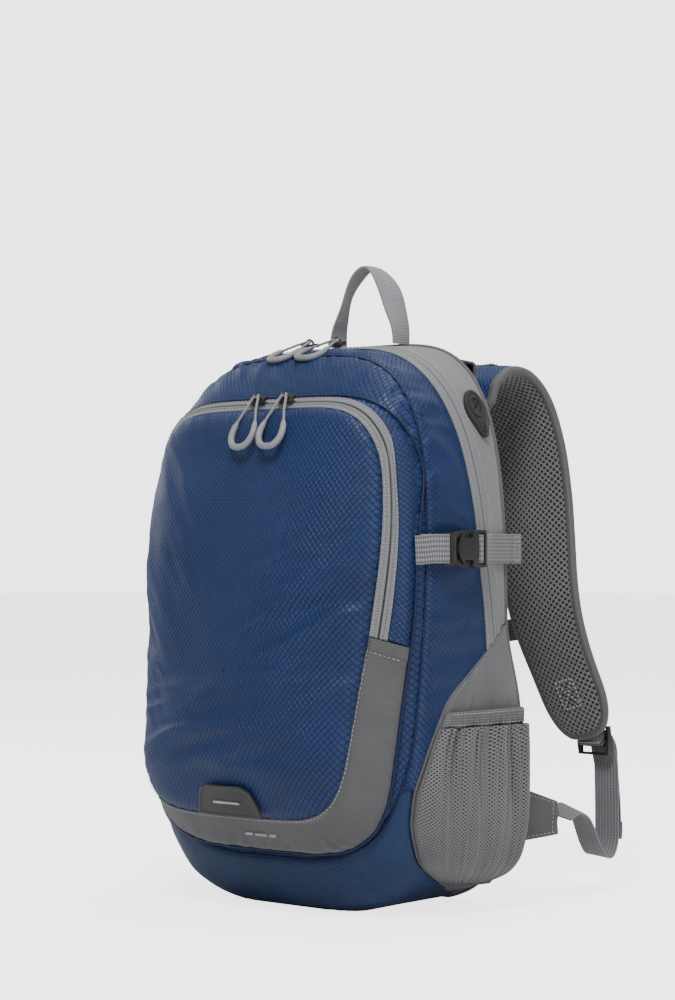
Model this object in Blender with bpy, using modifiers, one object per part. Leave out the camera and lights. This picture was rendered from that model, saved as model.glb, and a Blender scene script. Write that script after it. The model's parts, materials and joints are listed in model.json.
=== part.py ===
"""A 22 litre daypack as separate named pieces, in metres, +Z up, front towards -Y.

The origin is on the floor, under the middle of the main compartment. The sewn panels follow one
rounded body surface and one pocket surface, so that a change of size moves them together.
"""

import math

import bmesh
import bpy
from mathutils import Matrix, Vector

# Main compartment. The rim is where the side walls start to turn into the front.
BODY_HEIGHT = 0.480
RIM_TOP_Z = BODY_HEIGHT - 0.011
BODY_HALF_WIDTH = 0.147
WIDEST_Z = 0.175
BACK_Y = 0.088
RIM_Y = -0.005
FRONT_DEPTH, TOP_FRONT_DEPTH = 0.062, 0.080
BACK_NARROWING = 0.050  # share by which the back seam is narrower than the rim
LOW_WIDENING = 0.090  # share by which its lower part is wider again
TOP_POWER, BOTTOM_POWER = 3.8, 3.4  # squareness of the outline above and below the widest height
BASE_SAG = 0.004  # the round bottom sits this far into the floor, which makes it flat
SIDE_FULLNESS, TOP_FULLNESS, BOTTOM_FULLNESS = 4.0, 2.0, 3.0  # squareness of the front edge
FABRIC = 0.0016  # fabric with its lining
SEAM_GAP = 0.0006  # from a seam's line to the panel on either side of it

# Front pocket: its foot on the body and the front edge of its rim.
POCKET_MIDDLE_Z = 0.200
FOOT_HALF_WIDTH, FOOT_TOP_Z, FOOT_BOTTOM_Z = BODY_HALF_WIDTH - 0.0035, RIM_TOP_Z - 0.041, 0.050
FOOT_TOP_POWER, FOOT_BOTTOM_POWER = 5.4, 4.4
EDGE_HALF_WIDTH, EDGE_TOP_Z, EDGE_BOTTOM_Z = FOOT_HALF_WIDTH - 0.016, FOOT_TOP_Z - 0.0105, FOOT_BOTTOM_Z + 0.029
EDGE_TOP_POWER, EDGE_BOTTOM_POWER = 5.6, 5.0
EDGE_TAPER, FOOT_TAPER = 0.12, 0.07  # share by which each is narrower low down
EDGE_Y_LINE = ((0.079, -0.090), (0.120, -0.087), (0.160, -0.081), (0.220, -0.074), (0.280, -0.068), (0.370, -0.0585))
EDGE_TOP_Y = -0.064
POCKET_BULGE = 0.036
POCKET_FULLNESS = 1.9
POCKET_ZIP_END_Z = 0.222
POCKET_STAND_OFF = 0.0060  # the rim's foot to the panel behind it
POCKET_ZIP_WIDTH = 0.016

# Seams on the side walls as (height, y), and y at the top centre.
MAIN_ZIP_LINE = ((0.235, 0.064), (0.290, 0.054), (0.325, 0.052), (0.390, 0.042), (0.430, 0.033), (0.460, 0.025))
MAIN_ZIP_TOP_Y = 0.020
ZIP_TAPE_WIDTH = 0.024
ZIP_RIDGE = 0.0012
FRONT_SEAM_LINE = (
    (0.012, -0.058), (0.045, -0.055), (0.104, -0.048), (0.140, -0.042), (0.240, -0.032), (0.310, -0.027),
    (0.390, -0.020), (0.440, -0.018),
)  # fmt: skip
FRONT_SEAM_TOP_Y = -0.017
GORE_LINE = (
    (0.012, 0.060), (0.026, 0.020), (0.045, -0.024), (0.072, -0.040), (0.104, -0.041), (0.140, -0.029),
    (0.179, -0.0050), (0.235, 0.0850),
)  # fmt: skip
BASE_SEAM_Z = 0.104
KNOT_HEIGHTS = (
    0.012, 0.026, 0.045, 0.072, 0.104, 0.140, 0.179, 0.2138, 0.2480, 0.268, 0.300, 0.332, 0.362, 0.390,
    0.414, 0.434, 0.449, 0.460,
)  # fmt: skip
BASE_STEPS, TOP_STEPS = 5, 5  # between the middle of the base or the top and the first knot

# Side mesh pockets.
MESH_BOTTOM_Z, MESH_TOP_Z = 0.026, 0.155
MESH_BULGE = (
    (0.026, 0.003), (0.036, 0.018), (0.048, 0.028), (0.075, 0.028), (0.100, 0.024), (0.130, 0.018), (0.155, 0.013),
)  # fmt: skip
MESH_STAND_OFF = 0.0026
MESH_THICKNESS = 0.0012
HEM_HEIGHT = 0.013
HEM_THICKNESS = 0.0028
HEM_BULGE = 0.0095

# Webbing and buckles.
WEBBING = 0.025
WEBBING_THICKNESS = 0.0016
NARROW_WEBBING = 0.020
BUCKLE_LENGTH = 0.038
TONGUE_BASE = 0.0150
BUCKLE_THICKNESS = 0.0090
BUCKLE_WALL = 0.0016
BUCKLE_SIDE_PLAY = 0.0006
COMPRESSION_Z = 0.301
COMPRESSION_FRONT_Y = -0.034  # where the front loop is sewn down
COMPRESSION_BACK_Y = 0.078
COMPRESSION_END_Y = 0.104
BUCKLE_MOUTH_Y = -0.006
BUCKLE_STAND_OFF = 0.0045

# Carry handle.
HANDLE_PIVOT_Z = BODY_HEIGHT + 0.0090
HANDLE_LINE = (  # heights above the pivot
    (0.0350, 0.0002), (0.0338, 0.0080), (0.0316, 0.0150), (0.0285, 0.0240), (0.0250, 0.0340), (0.0205, 0.0430),
    (0.0140, 0.0520), (0.0070, 0.0582), (0.0, 0.0605),
)  # fmt: skip
HANDLE_Y = 0.0785
HANDLE_THICKNESS = 0.0030

# Back panel and pads.
BACK_PANEL_THICKNESS = 0.0025
PAD_THICKNESS = 0.013
SIDE_PAD = (0.068, 0.225)  # width and height
SIDE_PAD_X, SIDE_PAD_Z = 0.064, 0.262
LUMBAR_PAD = (0.200, 0.095)
LUMBAR_PAD_Z = 0.082
BACK_FOAM_THICKNESS = 0.006
FRAME_SHEET_THICKNESS = 0.0015
INNER_GAP = 0.0020
YOKE_HALF_WIDTH, YOKE_THICKNESS = 0.104, 0.0090
YOKE_LOW_Z, YOKE_TOP_Z, YOKE_DROP = 0.424, 0.4725, 0.012

# Shoulder harness: the middle line of the right strap, from the root down.
STRAP_WIDTH = 0.074
STRAP_THICKNESS = 0.013
STRAP_LINE = (
    (0.0735, 0.1120, 0.4300), (0.0755, 0.1180, 0.4460), (0.0795, 0.1360, 0.4560), (0.0845, 0.1580, 0.4500),
    (0.0900, 0.1760, 0.4280), (0.0950, 0.1870, 0.3920), (0.1000, 0.1900, 0.3500), (0.1045, 0.1880, 0.3120),
    (0.1090, 0.1850, 0.2760), (0.1145, 0.1850, 0.2460), (0.1215, 0.1885, 0.2180), (0.1300, 0.1950, 0.1880),
    (0.1385, 0.2015, 0.1600), (0.1450, 0.2065, 0.1370),
)  # fmt: skip
HARNESS_PIVOT = (0.0, 0.1045, 0.4520)
LADDER_LOCK = (0.033, 0.0055, 0.026)  # width, thickness, height
LADDER_BAR = 0.0035
WEBBING_LINE = (
    (0.1510, 0.2275, 0.1080), (0.1520, 0.2265, 0.0850), (0.1525, 0.2260, 0.0620), (0.1535, 0.2235, 0.0420),
    (0.1550, 0.2140, 0.0315), (0.1570, 0.2010, 0.0325), (0.1590, 0.1880, 0.0440), (0.1610, 0.1765, 0.0590),
    (0.1630, 0.1650, 0.0715), (0.1645, 0.1520, 0.0775), (0.1655, 0.1400, 0.0770), (0.1660, 0.1290, 0.0730),
)  # fmt: skip
WING_LOW_Z, WING_HIGH_Z = 0.052, 0.100
WING_REACH_Y = 0.1270
TAIL_LENGTH = 0.088

# Chest strap.
CHEST_Z = 0.236
CHEST_Y = 0.2005
CHEST_HALF_SPAN = 0.108
CHEST_SAG = 0.014
CHEST_BUCKLE_LENGTH = 0.024
CHEST_SLIDER = (0.012, 0.0050, 0.026)

# Zip sliders and pulls.
SLIDER = (0.0115, 0.0095, 0.0040)  # length along the zip, width, height
SLIDER_CLEARANCE = 0.0012
EAR = (0.0012, 0.0070, 0.0068)  # the upright lug that the pull's cord runs through
EAR_HOLE = 0.0044
PULL_CORD = 0.0022
PULL_OUTLINE = (
    (0.0, 0.0), (0.0022, 0.0002), (0.0036, 0.0040), (0.0048, 0.0130), (0.0086, 0.0270), (0.0104, 0.0360),
    (0.0086, 0.0432), (0.0034, 0.0462),
)  # fmt: skip
MAIN_SLIDER_X = (-0.0190, 0.0120)
POCKET_SLIDER_X = (-0.0070, 0.0240)
MAIN_PULL_SLOPE = -0.40  # fall of the resting pull for each metre forwards
POCKET_PULL_SLOPE = -1.85

# Small trim.
TAB = (0.070, 0.026, 0.0022)  # width, height, thickness
TAB_Z = 0.094
PORT = (0.034, 0.044, 0.0030)
PORT_Y, PORT_Z = 0.066, 0.408


def clear_scene():
    for obj in list(bpy.data.objects):
        bpy.data.objects.remove(obj)


def collection(name):
    made = bpy.data.collections.new(name)
    bpy.context.scene.collection.children.link(made)
    return made


def material(name, colour, roughness, metallic=0.0):
    made = bpy.data.materials.new(name)
    made.use_nodes = True
    shader = made.node_tree.nodes["Principled BSDF"]
    shader.inputs["Base Color"].default_value = (*colour, 1.0)
    shader.inputs["Roughness"].default_value = roughness
    shader.inputs["Metallic"].default_value = metallic
    return made


clear_scene()
DAYPACK = collection("daypack")
CUTTERS = collection("cutters")
BLUE = material("blue_ripstop", (0.045, 0.095, 0.235), 0.55)
GREY = material("grey_polyester", (0.180, 0.180, 0.185), 0.75)
MESH = material("grey_mesh", (0.120, 0.120, 0.125), 0.85)
STRIPED = material("grey_webbing", (0.300, 0.300, 0.310), 0.70)
ZIP_GREY = material("zip_tape", (0.330, 0.325, 0.315), 0.65)
BLACK = material("black_acetal", (0.025, 0.025, 0.026), 0.35)
RUBBER = material("grey_rubber", (0.270, 0.270, 0.275), 0.45)
GUNMETAL = material("slider_metal", (0.090, 0.085, 0.080), 0.35, 0.9)
FOAM = material("foam", (0.150, 0.150, 0.150), 0.90)
SHEET = material("frame_sheet", (0.700, 0.700, 0.700), 0.45)
LINING = material("lining", (0.080, 0.080, 0.085), 0.70)


def between(line, height):
    """The value at a height on a list of (height, value), by smooth steps, and flat past its ends."""
    if height <= line[0][0]:
        return line[0][1]
    for (low, first), (high, second) in zip(line, line[1:]):
        if height <= high:
            return first + (second - first) * (height - low) / (high - low)
    return line[-1][1]


def smooth(value):
    value = min(1.0, max(0.0, value))
    return value * value * (3 - 2 * value)


class Arch:
    """A rounded outline in the XZ plane: a half superellipse above its middle and one below it."""

    def __init__(self, half_width, top, bottom, middle, top_power, bottom_power, samples=1440):
        self.half_width, self.middle = half_width, middle
        self.rise, self.drop = top - middle, middle - bottom
        self.top_power, self.bottom_power = top_power, bottom_power
        self.points = [self.at_angle(math.tau * i / samples - math.pi / 2) for i in range(samples + 1)]
        self.lengths = [0.0]
        for (x0, z0), (x1, z1) in zip(self.points, self.points[1:]):
            self.lengths.append(self.lengths[-1] + math.hypot(x1 - x0, z1 - z0))

    def at_angle(self, angle):
        """(x, height above the middle) in one direction. The angle is 0 at +X and a quarter turn at the top."""
        up = math.sin(angle)
        power, reach = (self.top_power, self.rise) if up >= 0 else (self.bottom_power, self.drop)
        x = math.copysign(abs(math.cos(angle)) ** (2 / power), math.cos(angle)) * self.half_width
        return x, math.copysign(abs(up) ** (2 / power), up) * reach

    def at(self, way):
        """(x, height above the middle) at a share of the way round: 0 bottom, 0.25 about +X, 0.5 top."""
        goal = (way % 1.0) * self.lengths[-1] if way != 1.0 else self.lengths[-1]
        low, high = 0, len(self.lengths) - 1
        while high - low > 1:
            middle = (low + high) // 2
            low, high = (middle, high) if self.lengths[middle] <= goal else (low, middle)
        share = (goal - self.lengths[low]) / (self.lengths[high] - self.lengths[low])
        (x0, z0), (x1, z1) = self.points[low], self.points[high]
        return x0 + (x1 - x0) * share, z0 + (z1 - z0) * share

    def way_at(self, height):
        """The share of the way round at which the +X side has this height above the floor."""
        low, high = 0.0, 0.5
        for _ in range(40):
            middle = (low + high) / 2
            low, high = (middle, high) if self.middle + self.at(middle)[1] < height else (low, middle)
        return (low + high) / 2

    def share_of(self, x, height):
        """(how far out a point lies, 1 on the outline, and how far up or down that direction points)."""
        up = height - self.middle
        power, reach = (self.top_power, self.rise) if up >= 0 else (self.bottom_power, self.drop)
        across, along = abs(x) / self.half_width, abs(up) / reach
        share = (across**power + along**power) ** (1 / power)
        return share, math.copysign(along / max(share, 1e-9), up)


BODY = Arch(BODY_HALF_WIDTH, RIM_TOP_Z, -BASE_SAG, WIDEST_Z, TOP_POWER, BOTTOM_POWER)
FOOT = Arch(FOOT_HALF_WIDTH, FOOT_TOP_Z, FOOT_BOTTOM_Z, POCKET_MIDDLE_Z, FOOT_TOP_POWER, FOOT_BOTTOM_POWER)
EDGE = Arch(EDGE_HALF_WIDTH, EDGE_TOP_Z, EDGE_BOTTOM_Z, POCKET_MIDDLE_Z, EDGE_TOP_POWER, EDGE_BOTTOM_POWER)


def fullness(up):
    """(squareness of the front edge, depth of the front) in a direction, from -1 down to 1 up."""
    goal, depth = (TOP_FULLNESS, TOP_FRONT_DEPTH) if up > 0 else (BOTTOM_FULLNESS, FRONT_DEPTH)
    return SIDE_FULLNESS + (goal - SIDE_FULLNESS) * up * up, FRONT_DEPTH + (depth - FRONT_DEPTH) * up * up


def front_y(x, height):
    """Where the body's front surface is behind a point of the XZ plane."""
    share, up = BODY.share_of(x, height)
    share = min(share, 1.0)
    squareness, depth = fullness(up)
    depth = FRONT_DEPTH + (depth - FRONT_DEPTH) * share
    return RIM_Y - depth * (1 - share**squareness) ** (1 / squareness)


def body(way, y):
    """The body's surface at a share of the way round, and at depth y between the back seam and the front."""
    x, up = BODY.at(way)
    if y >= RIM_Y:
        back = (y - RIM_Y) / (BACK_Y - RIM_Y)
        rise = 1 + back * (BODY_HEIGHT - RIM_TOP_Z) / (RIM_TOP_Z - WIDEST_Z) if up > 0 else 1
        low = smooth((0.240 - WIDEST_Z - up) / 0.080)
        return Vector((
            x * (1 - (BACK_NARROWING - LOW_WIDENING * low) * back * back), y, max(0.0, WIDEST_Z + up * rise),
        ))  # fmt: skip
    squareness, depth = fullness(BODY.share_of(x, WIDEST_Z + up)[1])
    low, high = 0.0, 1.0
    for _ in range(40):
        share = (low + high) / 2
        deep = FRONT_DEPTH + (depth - FRONT_DEPTH) * share
        here = RIM_Y - deep * (1 - share**squareness) ** (1 / squareness)
        low, high = (low, share) if here > y else (share, high)
    share = (low + high) / 2
    return Vector((x * share, y, max(0.0, WIDEST_Z + up * share)))


def body_front(way, share):
    """The body's front surface at a share of the way out from its middle."""
    x, up = BODY.at(way)
    x, height = x * share, WIDEST_Z + up * share
    return Vector((x, front_y(x, height), max(0.0, height)))


def edge_y(height):
    top = smooth((height - EDGE_Y_LINE[-1][0]) / (EDGE_TOP_Z - EDGE_Y_LINE[-1][0]))
    return between(EDGE_Y_LINE, height) + (EDGE_TOP_Y - EDGE_Y_LINE[-1][1]) * top


def pocket_edge(way, share=1.0):
    """(x, height) at a share of the way out to the rim's front edge."""
    x, up = EDGE.at(way)
    height = POCKET_MIDDLE_Z + up * share
    return x * share * (1 - EDGE_TAPER * smooth((0.330 - height) / 0.200)), height


def pocket_rim(way, share):
    """The pocket's rim, from its foot on the body at share 0 to its front edge at share 1."""
    x, up = FOOT.at(way)
    x *= 1 - FOOT_TAPER * smooth((0.260 - POCKET_MIDDLE_Z - up) / 0.160)
    foot = Vector((x, front_y(x, POCKET_MIDDLE_Z + up) - POCKET_STAND_OFF, POCKET_MIDDLE_Z + up))
    x, height = pocket_edge(way)
    here = foot.lerp(Vector((x, edge_y(height), height)), share)
    here.y = min(here.y, front_y(here.x, here.z) - POCKET_STAND_OFF)
    return here


def pocket_front(way, share):
    """The pocket's bulging front, from its middle at share 0 to the rim's front edge at share 1."""
    x, height = pocket_edge(way, share)
    crown = (1 - min(share, 1.0) ** POCKET_FULLNESS) ** (1 / POCKET_FULLNESS)
    return Vector((x, edge_y(height) - POCKET_BULGE * crown, height))


def line_y(line, top_y, way):
    """A seam's depth at a share of the way round: by height on the sides, then level over the top."""
    way = min(way % 1.0, 1 - way % 1.0)
    last = BODY.way_at(line[-1][0])
    if way <= last:
        return between(line, WIDEST_Z + BODY.at(way)[1])
    return line[-1][1] + (top_y - line[-1][1]) * smooth((way - last) / (0.5 - last))


def main_zip_y(way):
    return line_y(MAIN_ZIP_LINE, MAIN_ZIP_TOP_Y, way)


def front_seam_y(way):
    return line_y(FRONT_SEAM_LINE, FRONT_SEAM_TOP_Y, way)


def gore_y(way):
    return line_y(GORE_LINE, GORE_LINE[-1][1], way)


def gore_way(y):
    """The way round at which the gore's slanting upper edge has this depth."""
    (low, first), (high, second) = GORE_LINE[-2:]
    return BODY.way_at(low + (high - low) * (y - first) / (second - first))


def columns(low, high, both_sides=True):
    """Ways round from one height to another up the right side, or on over the top and down the left side."""
    up = [BODY.way_at(height) for height in KNOT_HEIGHTS if low <= height + 1e-9 and height <= high + 1e-9]
    if not both_sides:
        return up
    last = up[-1]
    over = [last + (0.5 - last) * k / TOP_STEPS for k in range(1, TOP_STEPS)]
    right = up + over
    return [*right, 0.5, *(1 - way for way in reversed(right))]


def under(high):
    """Ways round from a height on the left side down under the base and up to it on the right."""
    up = [BODY.way_at(height) for height in KNOT_HEIGHTS if height <= high + 1e-9]
    below = [up[0] * k / BASE_STEPS for k in range(1, BASE_STEPS)]
    right = below + up
    return [*(-way for way in reversed(right)), 0.0, *right]


def place(obj, home=DAYPACK):
    for old in list(obj.users_collection):
        old.objects.unlink(obj)
    home.objects.link(obj)
    return obj


def finished(name, mesh, paint, smooth_angle=40):
    obj = bpy.data.objects.new(name, mesh)
    DAYPACK.objects.link(obj)
    mesh.materials.append(paint)
    mesh.shade_smooth()
    mesh.set_sharp_from_angle(angle=math.radians(smooth_angle))
    return obj


def surface(name, point, across, along, paint, thickness, inside=(0.0, 0.0, 0.24), offset=-1.0):
    """A sewn panel: a grid whose points come from point(u, v), given its thickness away from the outside."""
    sheet = bmesh.new()
    bmesh.ops.create_grid(sheet, x_segments=across, y_segments=along, size=0.5)
    for vert in sheet.verts:
        vert.co = point(vert.co.x + 0.5, vert.co.y + 0.5)
    bmesh.ops.remove_doubles(sheet, verts=sheet.verts, dist=0.00005)
    sheet.normal_update()
    middle = Vector(inside)
    outward = sum(face.calc_area() * face.normal.dot(face.calc_center_median() - middle) for face in sheet.faces)
    if outward < 0:
        bmesh.ops.reverse_faces(sheet, faces=sheet.faces)
    mesh = bpy.data.meshes.new(name)
    sheet.to_mesh(mesh)
    sheet.free()
    obj = finished(name, mesh, paint)
    shell = obj.modifiers.new("Thickness", "SOLIDIFY")
    shell.thickness, shell.offset, shell.use_even_offset = thickness, offset, True
    return obj


def strip(ways, near, far, surface_at):
    """point(u, v) of a panel between two seams, for a list of ways round."""

    def point(u, v):
        way = ways[round(u * (len(ways) - 1))]
        return surface_at(way, near(way) + (far(way) - near(way)) * v)

    return point


def box(name, size, centre, paint, bevel=0.0, segments=2, turn=(0.0, 0.0, 0.0)):
    bpy.ops.mesh.primitive_cube_add(size=1, location=centre, rotation=turn)
    obj = place(bpy.context.object)
    obj.name = obj.data.name = name
    obj.scale = size
    bpy.ops.object.transform_apply(location=False, rotation=False, scale=True)
    obj.data.materials.append(paint)
    if bevel:
        edge = obj.modifiers.new("Bevel", "BEVEL")
        edge.width, edge.segments, edge.limit_method = bevel, segments, "ANGLE"
    return obj


def cut(obj, size, centre, turn=(0.0, 0.0, 0.0)):
    """Cuts a box out of obj. Centre and turn are in the object's own axes."""
    bpy.ops.mesh.primitive_cube_add(size=1)
    cutter = place(bpy.context.object, CUTTERS)
    cutter.name = f"{obj.name}_cutter_{len(obj.modifiers)}"
    cutter.scale = size
    bpy.ops.object.transform_apply(location=False, rotation=False, scale=True)
    local = Matrix.LocRotScale(Vector(centre), Matrix.Identity(3) if not any(turn) else euler(turn), None)
    cutter.matrix_world = obj.matrix_basis @ local
    cutter.hide_render, cutter.display_type = True, "WIRE"
    hole = obj.modifiers.new("Cut", "BOOLEAN")
    hole.object, hole.operation, hole.solver = cutter, "DIFFERENCE", "EXACT"
    return cutter


def euler(turn):
    return Matrix.Rotation(turn[2], 3, "Z") @ Matrix.Rotation(turn[1], 3, "Y") @ Matrix.Rotation(turn[0], 3, "X")


def smooth_line(points, steps):
    """Points along a Catmull-Rom curve through a list of points, the same number in each stretch."""
    points = [Vector(p) for p in points]
    ends = [points[0] * 2 - points[1], *points, points[-1] * 2 - points[-2]]
    line = []
    for i in range(len(points) - 1):
        a, b, c, d = ends[i : i + 4]
        for k in range(steps):
            t = k / steps
            line.append(
                0.5 * (2 * b + (c - a) * t + (2 * a - 5 * b + 4 * c - d) * t**2 + (3 * b - a - 3 * c + d) * t**3)
            )
    return [*line, points[-1]]


def ribbon(name, line, sideways, width, thickness, paint, across=1):
    """A strap: its middle line, the direction of its width and its width at each point of the line."""
    count = len(line) - 1
    widths = width if isinstance(width, (list, tuple)) else [width] * len(line)

    def point(u, v):
        i = round(v * count)
        side = Vector(sideways[i] if isinstance(sideways, list) else sideways)
        ahead = (line[min(i + 1, count)] - line[max(i - 1, 0)]).normalized()
        side = (side - ahead * side.dot(ahead)).normalized()
        return line[i] + side * (u - 0.5) * widths[i]

    return surface(name, point, across, count, paint, thickness, offset=0.0)


def mirrored(name, obj):
    """A copy of a piece on the -X side, with its modifiers' result taken over and its faces pointing out."""
    mesh = bpy.data.meshes.new_from_object(obj.evaluated_get(bpy.context.evaluated_depsgraph_get()))
    mesh.transform(Matrix.Diagonal((-1, 1, 1, 1)) @ obj.matrix_world)
    mesh.flip_normals()
    mesh.name = name
    copy = bpy.data.objects.new(name, mesh)
    DAYPACK.objects.link(copy)
    return copy


def pair(make, name, *args, **kwargs):
    """Makes the right piece and mirrors it to the left."""
    right = make(f"{name}_right", *args, **kwargs)
    bpy.context.view_layer.update()
    return right, mirrored(f"{name}_left", right)


def outward(way, y):
    """The body surface's outward direction."""
    step = 0.002
    around = body(way + step, y) - body(way - step, y)
    along = body(way, y - step) - body(way, y + step)
    normal = along.cross(around).normalized()
    middle = Vector((0.0, y, WIDEST_Z))
    return normal if normal.dot(body(way, y) - middle) > 0 else -normal


def before_zip(way):
    return main_zip_y(way) - ZIP_TAPE_WIDTH / 2


def behind_zip(way):
    return main_zip_y(way) + ZIP_TAPE_WIDTH / 2


def sewn_panels():
    upper = columns(GORE_LINE[-1][0], 1.0)
    count = len(upper) + 1

    def slanted(u, y_low):
        """The way round in a column of a strip whose two ends follow the gores' slanting edges."""
        i = round(u * count)
        start = gore_way(y_low) + SEAM_GAP
        return start if i == 0 else 1 - start if i == count else upper[i - 1]

    low_zip = MAIN_ZIP_LINE[0][1]

    def gusset_point(u, v):
        low_y = BACK_Y + (low_zip + ZIP_TAPE_WIDTH / 2 - BACK_Y) * v
        way = slanted(u, low_y)
        return body(way, BACK_Y + (behind_zip(way) + SEAM_GAP - BACK_Y) * v)

    def zip_point(u, v):
        way = slanted(u, low_zip + ZIP_TAPE_WIDTH * (0.5 - v))
        y = behind_zip(way) - SEAM_GAP - (ZIP_TAPE_WIDTH - 2 * SEAM_GAP) * v
        raised = ZIP_RIDGE if abs(v - 0.5) < 0.2 else 0.0
        return body(way, y) + outward(way, y) * raised

    surface("rear_gusset", gusset_point, count, 2, GREY, FABRIC)
    surface("main_zip", zip_point, count, 6, ZIP_GREY, FABRIC)

    def seam_y(way):
        return front_seam_y(way) + SEAM_GAP

    def side_y(way):
        return min(gore_y(way), before_zip(way)) - SEAM_GAP

    sides = columns(BASE_SEAM_Z, 1.0)
    sides = [sides[0] + SEAM_GAP, *sides[1:-1], sides[-1] - SEAM_GAP]
    surface("front_gusset", strip(sides, side_y, seam_y, body), len(sides) - 1, 4, BLUE, FABRIC)

    ring = [*under(KNOT_HEIGHTS[0])[BASE_STEPS:], *columns(KNOT_HEIGHTS[1], 1.0)]
    ring = [*ring, *(1 - way for way in reversed(ring[: BASE_STEPS + 1]))]

    def front_panel_point(u, v):
        way = ring[round(u * (len(ring) - 1))]
        edge = body(way, front_seam_y(way) - SEAM_GAP)
        return body_front(way, BODY.share_of(edge.x, edge.z)[0] * (1 - (1 - v) ** 1.7))

    surface("front_panel", front_panel_point, len(ring) - 1, 7, BLUE, FABRIC)

    low = under(BASE_SEAM_Z)
    low = [low[0] + SEAM_GAP, *low[1:-1], low[-1] - SEAM_GAP]
    gore_low = BODY.way_at(GORE_LINE[0][0])

    def base_y(way):
        return BACK_Y if abs(way) < gore_low - 1e-6 else gore_y(way) - SEAM_GAP

    surface("base_panel", strip(low, base_y, seam_y, body), len(low) - 1, 5, BLUE, FABRIC)

    tips = [GORE_LINE[0][0] + 0.0024, *KNOT_HEIGHTS[1:8], GORE_LINE[-1][0] - 0.003]
    gore = [BODY.way_at(height) for height in tips]

    def gore_edge(way):
        return gore_y(way) + SEAM_GAP

    pair(surface, "side_gore", strip(gore, lambda way: BACK_Y, gore_edge, body), len(gore) - 1, 4, GREY, FABRIC)


def mesh_pockets():
    low, high = BODY.way_at(MESH_BOTTOM_Z), BODY.way_at(MESH_TOP_Z)
    hem_end = BODY.way_at(MESH_TOP_Z + HEM_HEIGHT)

    def spot(way, v, bulge):
        """A point off the body's side, from the back seam at v 0 to the gore's front edge at v 1."""
        y = BACK_Y + (gore_y(way) + 0.003 - BACK_Y) * v
        belly = min(1.0, v / 0.12) ** 0.5 * (1 - v**2.2) ** 0.8
        return body(way, y) + outward(way, y) * (MESH_STAND_OFF + bulge * belly)

    def mesh_point(u, v):
        way = low + (high - low) * u
        return spot(way, v, between(MESH_BULGE, WIDEST_Z + BODY.at(way)[1]))

    def hem_point(u, v):
        return spot(high + SEAM_GAP + (hem_end - high) * u, v, HEM_BULGE) + Vector((0.0008, 0, 0))

    pair(surface, "mesh_pocket", mesh_point, 10, 8, MESH, MESH_THICKNESS)
    pair(surface, "pocket_hem", hem_point, 1, 8, GREY, HEM_THICKNESS)


def zip_share(way):
    """The share of the rim's width behind the zip's tape, which has a steady width along its front edge."""
    width = (pocket_rim(way, 1.0) - pocket_rim(way, 0.0)).length
    return max(0.20, 1 - POCKET_ZIP_WIDTH / width)


def front_pocket():
    low, end = FOOT.way_at(POCKET_ZIP_END_Z + SEAM_GAP), FOOT.way_at(POCKET_ZIP_END_Z - SEAM_GAP)
    count = 36
    upper = [low + (1 - 2 * low) * k / count for k in range(count + 1)]
    apart = 0.06  # of the rim's width, between its parts

    def zip_point(u, v):
        way = upper[round(u * count)]
        start = zip_share(way) + apart / 2
        here = pocket_rim(way, start + (0.97 - start) * v)
        out = Vector((here.x, 0, here.z - POCKET_MIDDLE_Z)).normalized()
        return here + out * (ZIP_RIDGE if abs(v - 0.5) < 0.2 else 0.0)

    def strip_point(u, v):
        way = upper[round(u * count)]
        return pocket_rim(way, (zip_share(way) - apart / 2) * v)

    surface("pocket_zip", zip_point, count, 6, ZIP_GREY, FABRIC)
    surface("pocket_gusset", strip_point, count, 3, BLUE, FABRIC)

    def reach_in(way):
        """How far in the grey band reaches over the pocket's front: furthest at the bottom."""
        return 1 - 0.02 * smooth((POCKET_ZIP_END_Z - POCKET_MIDDLE_Z - FOOT.at(way)[1]) / POCKET_ZIP_END_Z)

    def band_point(u, v):
        way = -end + 2 * end * u
        if v <= 0.67:
            return pocket_rim(way, 1.5 * v)
        return pocket_front(way, 1 + (reach_in(way) - 1) * (v - 0.667) * 3)

    def panel_point(u, v):
        share = 0.9975 if low <= u <= 1 - low else reach_in(u) - 0.008
        return pocket_front(u, share * (1 - (1 - v) ** 1.6))

    surface("pocket_band", band_point, 28, 3, GREY, FABRIC)
    surface("pocket_panel", panel_point, 40, 7, BLUE, FABRIC)


def trim():
    spots = [pocket_front(0.0, k / 400) for k in range(400)]
    spot = min(spots, key=lambda p: abs(p.z - TAB_Z))
    upper = min(spots, key=lambda p: abs(p.z - TAB_Z - TAB[1] * 0.4))
    lean = math.atan2(spot.y - upper.y, upper.z - spot.z)
    box(
        "reflector_tab", (TAB[0], TAB[2], TAB[1]), (0, spot.y - TAB[2] / 2 - 0.0020, TAB_Z),
        BLACK, 0.0008, 1, (lean, 0, 0),
    )  # fmt: skip
    way = BODY.way_at(PORT_Z)
    spot, out = body(way, PORT_Y), outward(way, PORT_Y)
    port = box("cable_port", (PORT[0], PORT[2], PORT[1]), spot + out * (PORT[2] / 2 + 0.0012), RUBBER, 0.0011)
    across = Vector((0, 1, 0)) - out * out.y
    port.rotation_euler = Matrix((across, out, across.cross(out))).transposed().to_euler()


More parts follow.
